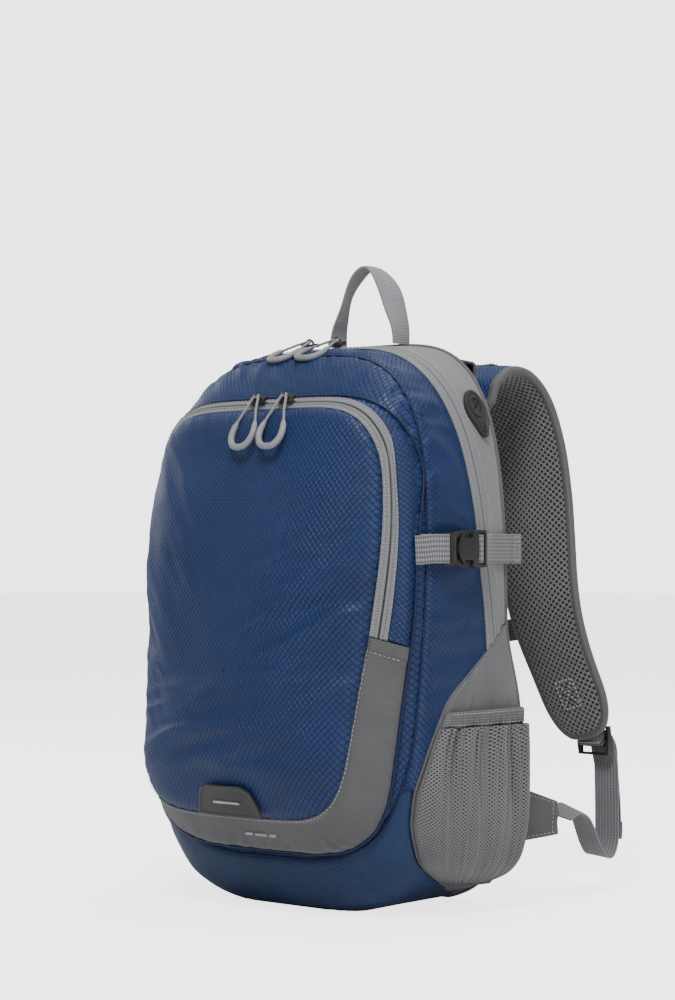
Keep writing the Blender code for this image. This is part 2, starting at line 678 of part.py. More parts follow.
def buckle_female(name, spot, width, length, paint):
    """The socket: a flat sleeve, open at its mouth and its sides, with a webbing bar at its far end."""
    body_size = (BUCKLE_THICKNESS, length, width)
    obj = box(name, body_size, spot + Vector((0, length / 2, 0)), paint)
    hollow = (BUCKLE_THICKNESS - 2 * BUCKLE_WALL, length * 0.68, width - 2 * BUCKLE_WALL)
    cut(obj, hollow, (0, -length / 2 + hollow[1] / 2 - 0.0001, 0))
    cut(obj, (BUCKLE_THICKNESS * 0.45, length * 0.34, width + 0.004), (0, -length * 0.10, 0))
    cut(obj, (BUCKLE_THICKNESS + 0.004, 0.0040, width - 2 * BUCKLE_WALL), (0, length / 2 - 0.0052, 0))
    return obj


def buckle_male(name, spot, width, length, paint):
    """The tongue: a webbing bar with two side arms and a guide, which run inside the socket."""
    play = BUCKLE_WALL + BUCKLE_SIDE_PLAY
    inner = width - 2 * play
    base = TONGUE_BASE
    reach = length * 0.58
    obj = box(name, (BUCKLE_THICKNESS - 2 * play, base + reach, inner), spot + Vector((0, (reach - base) / 2, 0)), paint)
    middle = (reach - base) / 2
    gap = (inner - 3 * inner * 0.17) / 2
    for side in (-1, 1):
        cut(
            obj, (BUCKLE_THICKNESS, reach - 0.0015, gap),
            (0, 0.0015 + (reach - 0.0015) / 2 + 0.0001 - middle, side * (inner * 0.085 + gap / 2)),
        )  # fmt: skip
    cut(obj, (BUCKLE_THICKNESS, 0.0040, inner - 0.0048), (0, -base + 0.0056 - middle, 0))
    return obj


def compression_strap():
    way = BODY.way_at(COMPRESSION_Z)
    wall_x = BODY_HALF_WIDTH
    stand_x = wall_x + BUCKLE_STAND_OFF + BUCKLE_THICKNESS / 2
    mouth = Vector((stand_x, BUCKLE_MOUTH_Y, COMPRESSION_Z))
    width = WEBBING + 0.006
    pair(buckle_female, "buckle_socket", mouth, width, BUCKLE_LENGTH, BLACK)
    pair(buckle_male, "buckle_tongue", mouth - Vector((0, 0.0006, 0)), width, BUCKLE_LENGTH, BLACK)
    upright = (0, 0, 1)
    bar_y = BUCKLE_MOUTH_Y - TONGUE_BASE
    front = [
        body(way, COMPRESSION_FRONT_Y) + outward(way, COMPRESSION_FRONT_Y) * 0.0066,
        Vector((wall_x + 0.0056, COMPRESSION_FRONT_Y + 0.0040, COMPRESSION_Z)),
        Vector((stand_x - 0.0004, bar_y - 0.0050, COMPRESSION_Z)),
        Vector((stand_x, bar_y - 0.0012, COMPRESSION_Z)),
    ]
    pair(ribbon, "compression_loop", front, upright, WEBBING - 0.0010, WEBBING_THICKNESS, STRIPED)
    rear_x = body(way, COMPRESSION_BACK_Y).x + 0.0030
    end = BUCKLE_MOUTH_Y + BUCKLE_LENGTH
    rear = [
        Vector((stand_x, end + 0.0012, COMPRESSION_Z)),
        Vector((stand_x, end + 0.0080, COMPRESSION_Z)),
        Vector((rear_x + 0.0025, COMPRESSION_BACK_Y - 0.016, COMPRESSION_Z)),
        Vector((rear_x + 0.0010, COMPRESSION_BACK_Y, COMPRESSION_Z)),
        Vector((rear_x, COMPRESSION_END_Y, COMPRESSION_Z)),
    ]
    pair(ribbon, "compression_tail", rear, upright, WEBBING, WEBBING_THICKNESS, STRIPED)


def handle():
    way = 0.5
    low = body(way, HANDLE_Y + WEBBING / 2).z + 0.0010
    high = HANDLE_PIVOT_Z - 0.0004
    legs = [Vector((HANDLE_LINE[0][0], HANDLE_Y, low)), Vector((HANDLE_LINE[0][0], HANDLE_Y, high))]
    pair(ribbon, "handle_foot", legs, (0, 1, 0), WEBBING, HANDLE_THICKNESS, STRIPED)
    right = [Vector((x, HANDLE_Y, HANDLE_PIVOT_Z + z)) for x, z in HANDLE_LINE]
    line = [*(Vector((-spot.x, spot.y, spot.z)) for spot in right[:-1]), *reversed(right)]
    ribbon("handle_loop", line, (0, 1, 0), WEBBING, HANDLE_THICKNESS, STRIPED)


def back_panel():
    def disc(y, share):
        def point(u, v):
            edge = body(u, BACK_Y)
            middle = Vector((0, BACK_Y, WIDEST_Z))
            spot = middle + (edge - middle) * share * v
            return Vector((spot.x, y, spot.z))

        return point

    outer = BACK_Y + 0.0005 + BACK_PANEL_THICKNESS
    surface("back_panel", disc(outer, 1.0), 32, 1, GREY, BACK_PANEL_THICKNESS)
    foam_y = BACK_Y - INNER_GAP
    surface("back_foam", disc(foam_y, 0.93), 28, 1, FOAM, BACK_FOAM_THICKNESS)
    sheet_y = foam_y - BACK_FOAM_THICKNESS - 0.0005
    surface("frame_sheet", disc(sheet_y, 0.86), 28, 1, SHEET, FRAME_SHEET_THICKNESS)
    sleeve_y = sheet_y - FRAME_SHEET_THICKNESS - 0.0015

    def sleeve(u, v):
        x, height = (u - 0.5) * 0.230, 0.030 + 0.270 * v
        depth = 0.024 * (1 - abs(2 * u - 1) ** 3) * min(1.0, v * 4 + 0.02)
        return Vector((x, sleeve_y - depth, height))

    surface("inner_sleeve", sleeve, 10, 6, LINING, 0.0012, inside=(0, 0.2, 0.2))
    pad_y = outer + 0.0005 + PAD_THICKNESS / 2
    pair(box, "back_pad", (SIDE_PAD[0], PAD_THICKNESS, SIDE_PAD[1]), (SIDE_PAD_X, pad_y, SIDE_PAD_Z), FOAM, 0.005, 2)
    box("lumbar_pad", (LUMBAR_PAD[0], PAD_THICKNESS, LUMBAR_PAD[1]), (0, pad_y, LUMBAR_PAD_Z), FOAM, 0.005, 2)

    def yoke(u, v):
        across = 2 * u - 1
        low, high = YOKE_LOW_Z + 0.004 * across**2, YOKE_TOP_Z - YOKE_DROP * across**2
        belly = 0.0015 * math.sin(math.pi * v) * (1 - across**4)
        y = outer + 0.0006 + YOKE_THICKNESS - 0.0015 + belly
        return Vector((across * YOKE_HALF_WIDTH, y, low + (high - low) * v))

    surface("strap_yoke", yoke, 10, 3, BLUE, YOKE_THICKNESS - 0.0015)


def shoulder_strap(name, paint):
    line = smooth_line(STRAP_LINE, 2)
    count = len(line) - 1
    widths = []
    for i in range(count + 1):
        share = i / count
        tip = math.sqrt(max(0.0, 1 - max(0.0, (share - 0.88) / 0.12) ** 2.4))
        widths.append((STRAP_WIDTH - (STRAP_WIDTH - 0.064) * smooth((share - 0.6) / 0.3)) * (0.30 + 0.70 * tip))
    return ribbon(name, line, (1, 0, 0), widths, STRAP_THICKNESS, paint, across=2)


def ladder_lock(name, spot, paint):
    obj = box(name, (LADDER_LOCK[0], LADDER_LOCK[1], LADDER_LOCK[2]), spot, paint, 0.0008, 1)
    slot = (LADDER_LOCK[2] - 4 * LADDER_BAR) / 3 + 0.0012
    pitch = slot + LADDER_BAR - 0.0004
    for k in (-1, 0, 1):
        cut(obj, (WEBBING + 0.002, LADDER_LOCK[1] * 2, slot), (0, 0, k * pitch))
    return obj


def harness():
    pair(shoulder_strap, "shoulder_strap", FOAM)
    tip = Vector(STRAP_LINE[-1])
    lock_y = tip.y + STRAP_THICKNESS / 2 + LADDER_LOCK[1] / 2 + 0.0016
    lock_z = tip.z - 0.006
    pair(ladder_lock, "ladder_lock", Vector((tip.x, lock_y, lock_z)), BLACK)
    line = smooth_line(WEBBING_LINE, 3)
    share = [i / (len(line) - 1) for i in range(len(line))]
    twist = [math.radians(-18) * smooth(along * 1.6 - 0.4) for along in share]
    turn = [(math.cos(angle), 0.15 * math.sin(angle), math.sin(angle)) for angle in twist]
    pair(ribbon, "lower_webbing", line, turn, WEBBING, WEBBING_THICKNESS, STRIPED)
    tail_y, tail_z = WEBBING_LINE[0][1] + 0.0042, lock_z - 0.002
    tail = [Vector((tip.x + 0.001 * k, tail_y + 0.0006 * k, tail_z - k * TAIL_LENGTH / 4)) for k in range(5)]
    pair(ribbon, "webbing_tail", tail, (1, 0, 0), WEBBING, WEBBING_THICKNESS, STRIPED)


def anchor_wings():
    def wing(u, v):
        height = WING_LOW_Z + (WING_HIGH_Z - WING_LOW_Z) * u
        root = body(BODY.way_at(height), BACK_Y) + Vector((0.0030, 0.0040, 0))
        tip = Vector((WEBBING_LINE[-1][0], WING_REACH_Y, WEBBING_LINE[-1][2] - 0.001))
        return root.lerp(tip + Vector((0, 0, (u - 0.5) * 0.028)), v)

    pair(surface, "anchor_wing", wing, 6, 4, GREY, 0.0024, offset=0.0)


def chest_strap():
    def chest_line(low, high, steps=6):
        xs = [low + (high - low) * k / steps for k in range(steps + 1)]
        return [Vector((x, CHEST_Y, CHEST_Z - CHEST_SAG * (1 - (x / CHEST_HALF_SPAN) ** 2))) for x in xs]

    up = (0, 0, 1)
    half = CHEST_BUCKLE_LENGTH / 2
    middle = CHEST_Z - CHEST_SAG
    slider_x = CHEST_HALF_SPAN + CHEST_SLIDER[0] / 2 + 0.0030
    pair(box, "chest_slider", CHEST_SLIDER, (slider_x, CHEST_Y, CHEST_Z), BLACK, 0.0012, 1)
    right, left = chest_line(half + 0.0085, CHEST_HALF_SPAN), chest_line(-CHEST_HALF_SPAN, -half - 0.0016)
    ribbon("chest_webbing_right", right, up, NARROW_WEBBING, WEBBING_THICKNESS, STRIPED)
    ribbon("chest_webbing_left", left, up, NARROW_WEBBING, WEBBING_THICKNESS, STRIPED)
    width = NARROW_WEBBING + 0.004
    length = CHEST_BUCKLE_LENGTH
    socket = box("chest_socket", (length, 0.008, width), (-0.0004, CHEST_Y, middle), BLACK)
    cut(socket, (length * 0.70, 0.0050, width - 0.003), (length * 0.15 + 0.0001, 0, 0))
    tongue = box("chest_tongue", (length * 0.85, 0.0038, width - 0.0044), (half - 0.0035, CHEST_Y, middle), BLACK)
    for side in (-1, 1):
        cut(tongue, (length * 0.45, 0.006, 0.0040), (-length * 0.21, 0, 0.0040 * side))


def slider(name, foot, lean):
    """A zip slider over the tape's ridge, with the lug that its pull hangs in. Returns the lug's hole."""
    foot, away = Vector(foot), Matrix.Rotation(lean, 3, "X")
    block = box(name, SLIDER, foot + away @ Vector((0, 0, SLIDER[2] / 2)), GUNMETAL, 0.0006, 1, (lean, 0, 0))
    bpy.ops.mesh.primitive_cube_add(size=1)
    ear = place(bpy.context.object, CUTTERS)
    ear.name = f"{name}_ear"
    ear.scale = EAR
    bpy.ops.object.transform_apply(location=False, rotation=False, scale=True)
    up = Vector((0, -0.0015, SLIDER[2] + EAR[2] / 2 - 0.0006))
    ear.matrix_world = Matrix.Translation(foot + away @ up) @ away.to_4x4()
    ear.hide_render, ear.display_type = True, "WIRE"
    joined = block.modifiers.new("Ear", "BOOLEAN")
    joined.object, joined.operation, joined.solver = ear, "UNION", "EXACT"
    hole = up + Vector((0, 0, 0.0002))
    cut(block, (0.02, EAR_HOLE, EAR_HOLE), hole - Vector((0, 0, SLIDER[2] / 2)))
    return foot + away @ hole


def pull(name, top, reach):
    """A cord loop with a moulded grip: a flat closed teardrop through the lug of its slider."""
    top, down, side = Vector(top), Vector(reach).normalized(), Vector((1, 0, 0))
    outline = [*PULL_OUTLINE, *((-wide, along) for wide, along in reversed(PULL_OUTLINE[1:]))]
    curve = bpy.data.curves.new(name, "CURVE")
    curve.dimensions, curve.bevel_depth, curve.bevel_resolution = "3D", PULL_CORD / 2, 1
    curve.use_fill_caps = True
    spline = curve.splines.new("POLY")
    spline.points.add(len(outline) - 1)
    spline.use_cyclic_u = True
    for spot, (wide, along) in zip(spline.points, outline):
        spot.co = (*(down * along + side * wide), 1)
    obj = bpy.data.objects.new(name, curve)
    obj.location = top
    DAYPACK.objects.link(obj)
    curve.materials.append(RUBBER)


def zip_hardware():
    main_top = body(0.5, MAIN_ZIP_TOP_Y)
    main_rise = (body(0.5, MAIN_ZIP_TOP_Y + 0.01) - main_top).normalized()
    main_lean = math.atan2(main_rise.z, main_rise.y)
    start = zip_share(0.5)
    rim_top = pocket_rim(0.5, (start + 0.97) / 2)
    slope = pocket_rim(0.5, 0.0) - pocket_rim(0.5, 1.0)
    pocket_lean = math.atan2(slope.z, slope.y)
    for kind, spot, lean, xs, fall in (
        ("main", main_top, main_lean, MAIN_SLIDER_X, MAIN_PULL_SLOPE),
        ("pocket", rim_top, pocket_lean, POCKET_SLIDER_X, POCKET_PULL_SLOPE),
    ):
        away = Matrix.Rotation(lean, 3, "X") @ Vector((0, 0, 1))
        foot = spot + away * (ZIP_RIDGE + SLIDER_CLEARANCE)
        for side, x in zip(("left", "right"), xs):
            hole = slider(f"{kind}_slider_{side}", (x, foot.y, foot.z), lean)
            pull(f"{kind}_pull_{side}", hole, (0, -1.0, fall))


def pivot(names, spot):
    """Puts the origins of moving pieces on their joint's axis, without moving the pieces."""
    bpy.context.view_layer.update()
    for name in names:
        obj = bpy.data.objects[name]
        moved = Matrix.Translation(-Vector(spot)) @ obj.matrix_world
        obj.data.transform(moved)
        obj.matrix_world = Matrix.Translation(spot)


def pivots():
    pivot(["handle_loop"], (0, HANDLE_Y, HANDLE_PIVOT_Z))
    pivot(["shoulder_strap_left", "shoulder_strap_right"], HARNESS_PIVOT)
    for side, sign in (("left", -1), ("right", 1)):
        tip = STRAP_LINE[-1]
        lock_y = tip[1] + STRAP_THICKNESS / 2 + LADDER_LOCK[1] / 2 + 0.0016
        lock = (sign * tip[0], lock_y, tip[2] - 0.006 + LADDER_LOCK[2] / 2 - LADDER_BAR / 2)
        pivot([f"ladder_lock_{side}", f"webbing_tail_{side}"], lock)
        tongue = (sign * (BODY_HALF_WIDTH + BUCKLE_STAND_OFF + BUCKLE_THICKNESS / 2), BUCKLE_MOUTH_Y, COMPRESSION_Z)
        pivot([f"buckle_tongue_{side}"], tongue)
        pivot([f"chest_slider_{side}", f"chest_webbing_{side}"], (0, CHEST_Y, CHEST_Z))
    for name in ("handle_loop", "ladder_lock_right", "buckle_tongue_right", "main_pull_right", "pocket_pull_right"):
        spot = bpy.data.objects[name].matrix_world.translation
        print(name, "origin", " ".join(f"{value:.4f}" for value in spot))


sewn_panels()
mesh_pockets()
front_pocket()
trim()
compression_strap()
handle()
back_panel()
harness()
anchor_wings()
chest_strap()
zip_hardware()
pivots()
print("daypack:", len(DAYPACK.objects), "pieces")
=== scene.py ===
import json
import math

import bmesh
import bpy
import numpy as np
from mathutils import Matrix, Vector, noise


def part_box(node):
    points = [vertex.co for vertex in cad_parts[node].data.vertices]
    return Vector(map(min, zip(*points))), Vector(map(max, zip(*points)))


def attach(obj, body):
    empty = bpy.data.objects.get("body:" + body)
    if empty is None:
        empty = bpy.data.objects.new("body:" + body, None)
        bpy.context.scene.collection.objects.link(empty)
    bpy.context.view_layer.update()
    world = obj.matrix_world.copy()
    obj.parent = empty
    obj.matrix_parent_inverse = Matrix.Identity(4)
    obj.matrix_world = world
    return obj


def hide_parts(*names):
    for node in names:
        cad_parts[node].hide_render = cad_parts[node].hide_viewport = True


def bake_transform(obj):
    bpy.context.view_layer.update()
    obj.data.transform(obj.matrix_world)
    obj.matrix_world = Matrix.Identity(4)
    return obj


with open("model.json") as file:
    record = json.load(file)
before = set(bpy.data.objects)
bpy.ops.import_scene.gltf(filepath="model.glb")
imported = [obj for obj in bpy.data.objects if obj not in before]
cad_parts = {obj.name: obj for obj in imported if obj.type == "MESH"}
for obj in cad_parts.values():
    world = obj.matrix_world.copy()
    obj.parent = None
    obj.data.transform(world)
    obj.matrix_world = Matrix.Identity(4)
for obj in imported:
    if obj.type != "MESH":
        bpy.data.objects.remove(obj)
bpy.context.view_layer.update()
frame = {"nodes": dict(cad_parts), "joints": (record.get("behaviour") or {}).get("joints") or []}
bpy.ops.object.select_all(action="DESELECT")
print("frame loaded:", len(frame["nodes"]), "nodes")


# camera, light and floor

studio = {
    "azimuth": 40.0, "distance": 1.95, "eyeHeight": 0.30, "lens": 81.8, "turnRight": 0.63, "tiltUp": 1.26,
    "floorColour": "#f4f4f3", "backdrop": 3.4, "floorGlow": 2.6, "world": 0.33, "key": 42.0, "fill": 9.0, "rim": 12.0,
    "top": 20.0,
}


def hexColour(text):
    parts = [int(text[i:i + 2], 16) / 255 for i in (1, 3, 5)]
    return (*[p / 12.92 if p <= 0.04045 else ((p + 0.055) / 1.055) ** 2.4 for p in parts], 1.0)


def makeCamera():
    turn = math.radians(studio["azimuth"])
    ahead, right = Vector((-math.sin(turn), math.cos(turn), 0)), Vector((math.cos(turn), math.sin(turn), 0))
    yaw, tilt = math.radians(studio["turnRight"]), math.radians(studio["tiltUp"])
    look = (ahead * math.cos(yaw) + right * math.sin(yaw)) * math.cos(tilt) + Vector((0, 0, math.sin(tilt)))
    data = bpy.data.cameras.new("mainCamera")
    data.lens, data.sensor_width = studio["lens"], 36.0
    data.clip_start, data.clip_end = 0.05, 60
    eye = bpy.data.objects.new("mainCamera", data)
    bpy.context.scene.collection.objects.link(eye)
    eye.location = -ahead * studio["distance"] + Vector((0, 0, studio["eyeHeight"]))
    eye.rotation_euler = look.to_track_quat("-Z", "Y").to_euler()
    bpy.context.scene.camera = eye


def softBox(name, spot, size, power, aim=(0, 0.04, 0.26)):
    data = bpy.data.lights.new(name, "AREA")
    data.shape, data.size, data.energy = "DISK", size, power
    lamp = bpy.data.objects.new(name, data)
    bpy.context.scene.collection.objects.link(lamp)
    lamp.location = spot
    lamp.rotation_euler = (Vector(aim) - Vector(spot)).to_track_quat("-Z", "Y").to_euler()


def addNode(tree, kind, settings=None, sockets=None):
    # adds one node; a socket's value is a number, a colour or another node's output
    made = tree.nodes.new(kind)
    for key, value in (settings or {}).items():
        setattr(made, key, value)
    for key, value in (sockets or {}).items():
        if isinstance(value, bpy.types.NodeSocket):
            tree.links.new(value, made.inputs[key])
        else:
            made.inputs[key].default_value = value
    return made


makeCamera()
softBox("keyLight", (0.75, -1.25, 2.05), 0.8, studio["key"])
softBox("fillLight", (2.1, -0.5, 0.8), 1.6, studio["fill"])
softBox("leftRim", (-1.9, 0.3, 1.0), 1.1, studio["rim"])
softBox("topLight", (0.1, 0.5, 2.3), 1.5, studio["top"])
softBox("backLight", (-0.4, 2.1, 1.3), 1.5, studio["fill"])
world = bpy.data.worlds.new("paleStudio")
world.use_nodes = True
world.node_tree.nodes["Background"].inputs[0].default_value = (1, 1, 1, 1)
world.node_tree.nodes["Background"].inputs[1].default_value = studio["world"]
# the backdrop seen behind the object is brighter than the light it gives
seen = addNode(world.node_tree, "ShaderNodeLightPath").outputs["Is Camera Ray"]
level = addNode(
    world.node_tree, "ShaderNodeMapRange", None,
    {0: seen, 1: 0.0, 2: 1.0, 3: studio["world"], 4: studio["backdrop"]}
)
world.node_tree.links.new(level.outputs[0], world.node_tree.nodes["Background"].inputs[1])
bpy.context.scene.world = world
bpy.ops.mesh.primitive_circle_add(vertices=96, radius=14, fill_type="NGON", location=(0, 0, -0.0004))
floor = bpy.context.object
floor.name = "studioFloor"
paper = bpy.data.materials.new("paintedFloor")  # matt emulsion, evenly pale
paper.use_nodes = True
paper.node_tree.nodes["Principled BSDF"].inputs["Base Color"].default_value = hexColour(studio["floorColour"])
paper.node_tree.nodes["Principled BSDF"].inputs["Roughness"].default_value = 0.9
paper.node_tree.nodes["Principled BSDF"].inputs["Emission Color"].default_value = (1, 1, 1, 1)
glow = addNode(
    paper.node_tree, "ShaderNodeMath", {"operation": "MULTIPLY"},
    {0: addNode(paper.node_tree, "ShaderNodeLightPath").outputs["Is Camera Ray"], 1: studio["floorGlow"]}
)
paper.node_tree.links.new(
    glow.outputs[0], paper.node_tree.nodes["Principled BSDF"].inputs["Emission Strength"]
)
floor.data.materials.append(paper)
print("studio ready")


# finishes

def newFinish(name, roughness, **values):
    made = bpy.data.materials.new(name)
    made.use_nodes = True
    shader = made.node_tree.nodes["Principled BSDF"]
    shader.inputs["Roughness"].default_value = roughness
    for key, value in values.items():
        shader.inputs[key.replace("_", " ")].default_value = value
    return made, made.node_tree, shader


def clothUv(tree):
    return addNode(tree, "ShaderNodeUVMap", {"uv_map": "cloth"}).outputs[0]


def ruled(tree, spot, direction, width, shift=0.0):
    # 1 on each of a set of even lines and 0 between them; direction is 1 / spacing along each axis
    along = addNode(
        tree, "ShaderNodeVectorMath", {"operation": "DOT_PRODUCT"}, {0: spot, 1: (*direction, 0.0)}
    )
    moved = addNode(tree, "ShaderNodeMath", {"operation": "ADD"}, {0: along.outputs[1], 1: shift})
    tooth = addNode(tree, "ShaderNodeMath", {"operation": "PINGPONG"}, {0: moved.outputs[0], 1: 0.5})
    return addNode(
        tree, "ShaderNodeMapRange", {"interpolation_type": "SMOOTHSTEP"},
        {0: tooth.outputs[0], 1: 0.0, 2: width, 3: 1.0, 4: 0.0},
    ).outputs[0]


def blotch(tree, size, low, high, detail=2.0):
    # soft uneven patches of a real size, between two values
    spot = addNode(tree, "ShaderNodeTexCoord").outputs["Object"]
    cloud = addNode(tree, "ShaderNodeTexNoise", None, {"Vector": spot, "Scale": 1 / size, "Detail": detail})
    return addNode(
        tree, "ShaderNodeMapRange", None, {0: cloud.outputs[0], 1: 0.3, 2: 0.7, 3: low, 4: high}
    ).outputs[0]


def blended(tree, share, first, second, kind="MIX"):
    return addNode(
        tree, "ShaderNodeMix", {"data_type": "RGBA", "blend_type": kind}, {0: share, 6: first, 7: second}
    ).outputs[2]


def shaded(tree, colour, level):
    grey = addNode(tree, "ShaderNodeCombineColor", None, {0: level, 1: level, 2: level}).outputs[0]
    return blended(tree, 1.0, colour, grey, "MULTIPLY")


def embossed(tree, shader, height, depth, strength=1.0):
    bump = addNode(tree, "ShaderNodeBump", None, {"Height": height, "Distance": depth, "Strength": strength})
    tree.links.new(bump.outputs[0], shader.inputs["Normal"])
    return bump


ripstop = {
    "diamondWidth": 0.0047, "diamondHeight": 0.0060, "colour": "#133063", "line": "#030918",
    "shadedLowColour": "#123058", "square": 0.0034,
}


def ripstopFinish(name, colour, line, rules, depth):
    # polyester woven with heavier yarns in a grid: satin sheen, each cell slightly pillowed
    made, tree, shader = newFinish(
        name, 0.46, Sheen_Weight=0.10, Sheen_Roughness=0.4, Specular_IOR_Level=0.35
    )
    shader.inputs["Sheen Tint"].default_value = hexColour("#7f9fdc")
    spot = clothUv(tree)
    first, second = (ruled(tree, spot, rule, 0.19) for rule in rules)
    grid = addNode(tree, "ShaderNodeMath", {"operation": "MAXIMUM"}, {0: first, 1: second}).outputs[0]
    part = addNode(tree, "ShaderNodeMath", {"operation": "MULTIPLY"}, {0: grid, 1: 0.92}).outputs[0]
    mixed = blended(tree, part, hexColour(colour), hexColour(line))
    tree.links.new(shaded(tree, mixed, blotch(tree, 0.07, 0.86, 1.10)), shader.inputs["Base Color"])
    sunk = addNode(tree, "ShaderNodeMath", {"operation": "SUBTRACT"}, {0: 1.0, 1: grid}).outputs[0]
    embossed(tree, shader, sunk, depth, 0.8)
    return made


diamondRules = [
    (1 / ripstop["diamondWidth"], 1 / ripstop["diamondHeight"]),
    (1 / ripstop["diamondWidth"], -1 / ripstop["diamondHeight"]),
]
squareRules = [(1 / ripstop["square"], 0.0), (0.0, 1 / ripstop["square"])]
diamondRipstop = ripstopFinish(
    "diamondRipstopPolyester", ripstop["colour"], ripstop["line"], diamondRules, 0.0004
)
# the base panel's square ripstop gets a slightly darker blue than the diamond ripstop: painted shade for the pack's
# underside
squareRipstop = ripstopFinish("squareRipstopPolyester", ripstop["shadedLowColour"], "#132446", squareRules, 0.00025)

coarse = {"yarn": 0.0013}


def coarseWeave(name, colour, dark, roughness=0.8):
    # thick textured polyester yarns in a plain weave: matt, with a fine basket grain
    made, tree, shader = newFinish(name, roughness, Sheen_Weight=0.2, Sheen_Roughness=0.5)
    spot = clothUv(tree)
    warp = ruled(tree, spot, (1 / coarse["yarn"], 0.35 / coarse["yarn"]), 0.5)
    weft = ruled(tree, spot, (0.0, 1 / coarse["yarn"]), 0.5)
    grain = addNode(tree, "ShaderNodeMath", {"operation": "MULTIPLY"}, {0: warp, 1: weft}).outputs[0]
    mixed = blended(tree, grain, hexColour(dark), hexColour(colour))
    tree.links.new(shaded(tree, mixed, blotch(tree, 0.035, 0.90, 1.07, 4.0)), shader.inputs["Base Color"])
    embossed(tree, shader, grain, 0.00022, 0.7)
    return made


greyWeave = coarseWeave("coarseGreyPolyester", "#747477", "#454548")
paleWeave = coarseWeave("coarsePaleGreyPolyester", "#97989b", "#6a6b6e")
gorePolyester = coarseWeave("coarseGorePolyester", "#868689", "#57575a")

zipLook = {"tape": "#8f9093", "tapeDark": "#626366", "line": "#262626", "pitch": 0.0026}


def zipFinish(name, width):
    # woven tape turned over a reversed coil: warm grey, with the closed slit and a row of needle holes beside it
    # painted near-black as painted shade in the gap and in the holes
    made, tree, shader = newFinish(name, 0.72, Sheen_Weight=0.15)
    spot = clothUv(tree)
    axes = addNode(tree, "ShaderNodeSeparateXYZ", None, {0: spot})
    ribs = ruled(tree, spot, (1 / 0.0015, 0.0), 0.5)
    mixed = blended(tree, ribs, hexColour(zipLook["tapeDark"]), hexColour(zipLook["tape"]))
    offset = addNode(tree, "ShaderNodeMath", {"operation": "ABSOLUTE"}, {0: axes.outputs[1]}).outputs[0]
    slit = addNode(
        tree, "ShaderNodeMapRange", None, {0: offset, 1: 0.0005, 2: 0.0011, 3: 1.0, 4: 0.0}
    ).outputs[0]
    apart = addNode(
        tree, "ShaderNodeMath", {"operation": "SUBTRACT"}, {0: offset, 1: width * 0.30}
    ).outputs[0]
    near = addNode(tree, "ShaderNodeMath", {"operation": "ABSOLUTE"}, {0: apart}).outputs[0]
    row = addNode(
        tree, "ShaderNodeMapRange", None, {0: near, 1: 0.0003, 2: 0.0007, 3: 1.0, 4: 0.0}
    ).outputs[0]
    holes = ruled(tree, spot, (1 / zipLook["pitch"], 0.0), 0.22)
    dots = addNode(tree, "ShaderNodeMath", {"operation": "MULTIPLY"}, {0: row, 1: holes}).outputs[0]
    # the slit and the needle holes take the painted shade colour
    dark = addNode(tree, "ShaderNodeMath", {"operation": "MAXIMUM"}, {0: slit, 1: dots}).outputs[0]
    tree.links.new(blended(tree, dark, mixed, hexColour(zipLook["line"])), shader.inputs["Base Color"])
    embossed(tree, shader, ribs, 0.00012, 0.5)
    return made


mainZipTape = zipFinish("mainZipTape", 0.024)
pocketZipTape = zipFinish("pocketZipTape", 0.013)


def airMesh(name, colour, eyeShade, across, along, size, depth, roughness=0.85):
    # knitted spacer or pocket mesh: rows of open eyes, each row set half a step on from the last; the eyes are
    # painted near-black as painted shade inside the holes
    made, tree, shader = newFinish(name, roughness, Sheen_Weight=0.25, Sheen_Roughness=0.5)
    spot = clothUv(tree)
    first = addNode(
        tree, "ShaderNodeVectorMath", {"operation": "DOT_PRODUCT"}, {0: spot, 1: (1 / across, 1 / along, 0)}
    )
    second = addNode(
        tree, "ShaderNodeVectorMath", {"operation": "DOT_PRODUCT"}, {0: spot, 1: (1 / across, -1 / along, 0)}
    )
    grid = addNode(tree, "ShaderNodeCombineXYZ", None, {0: first.outputs[1], 1: second.outputs[1], 2: 0.0})
    cell = addNode(
        tree, "ShaderNodeTexVoronoi", {"feature": "F1"},
        {"Vector": grid.outputs[0], "Scale": 1.0, "Randomness": 0.0}
    )
    eye = addNode(
        tree, "ShaderNodeMapRange", {"interpolation_type": "SMOOTHSTEP"},
        {0: cell.outputs["Distance"], 1: size * 0.65, 2: size, 3: 1.0, 4: 0.0},
    ).outputs[0]
    mixed = blended(tree, eye, hexColour(colour), hexColour(eyeShade))
    tree.links.new(shaded(tree, mixed, blotch(tree, 0.04, 0.92, 1.06)), shader.inputs["Base Color"])
    solid = addNode(tree, "ShaderNodeMath", {"operation": "SUBTRACT"}, {0: 1.0, 1: eye}).outputs[0]
    embossed(tree, shader, solid, depth, 0.9)
    return made


spacerMesh = airMesh("warpKnitSpacerMesh", "#717174", "#131314", 0.0062, 0.0056, 0.44, 0.0009)
pocketMesh = airMesh("knittedPocketMesh", "#707073", "#1f1f21", 0.0032, 0.0036, 0.38, 0.0004)


def webbingFinish(name, colour, dark, rib, pick):
    # tightly woven narrow webbing: ribs along it and fine picks across it
    made, tree, shader = newFinish(name, 0.7, Sheen_Weight=0.2)
    spot = clothUv(tree)
    ribs = ruled(tree, spot, (1 / rib, 0.0), 0.5)
    picks = ruled(tree, spot, (0.0, 1 / pick), 0.5)
    grain = addNode(tree, "ShaderNodeMath", {"operation": "MULTIPLY"}, {0: ribs, 1: picks}).outputs[0]
    tree.links.new(blended(tree, grain, hexColour(dark), hexColour(colour)), shader.inputs["Base Color"])
    embossed(tree, shader, grain, 0.0003, 0.8)
    return made


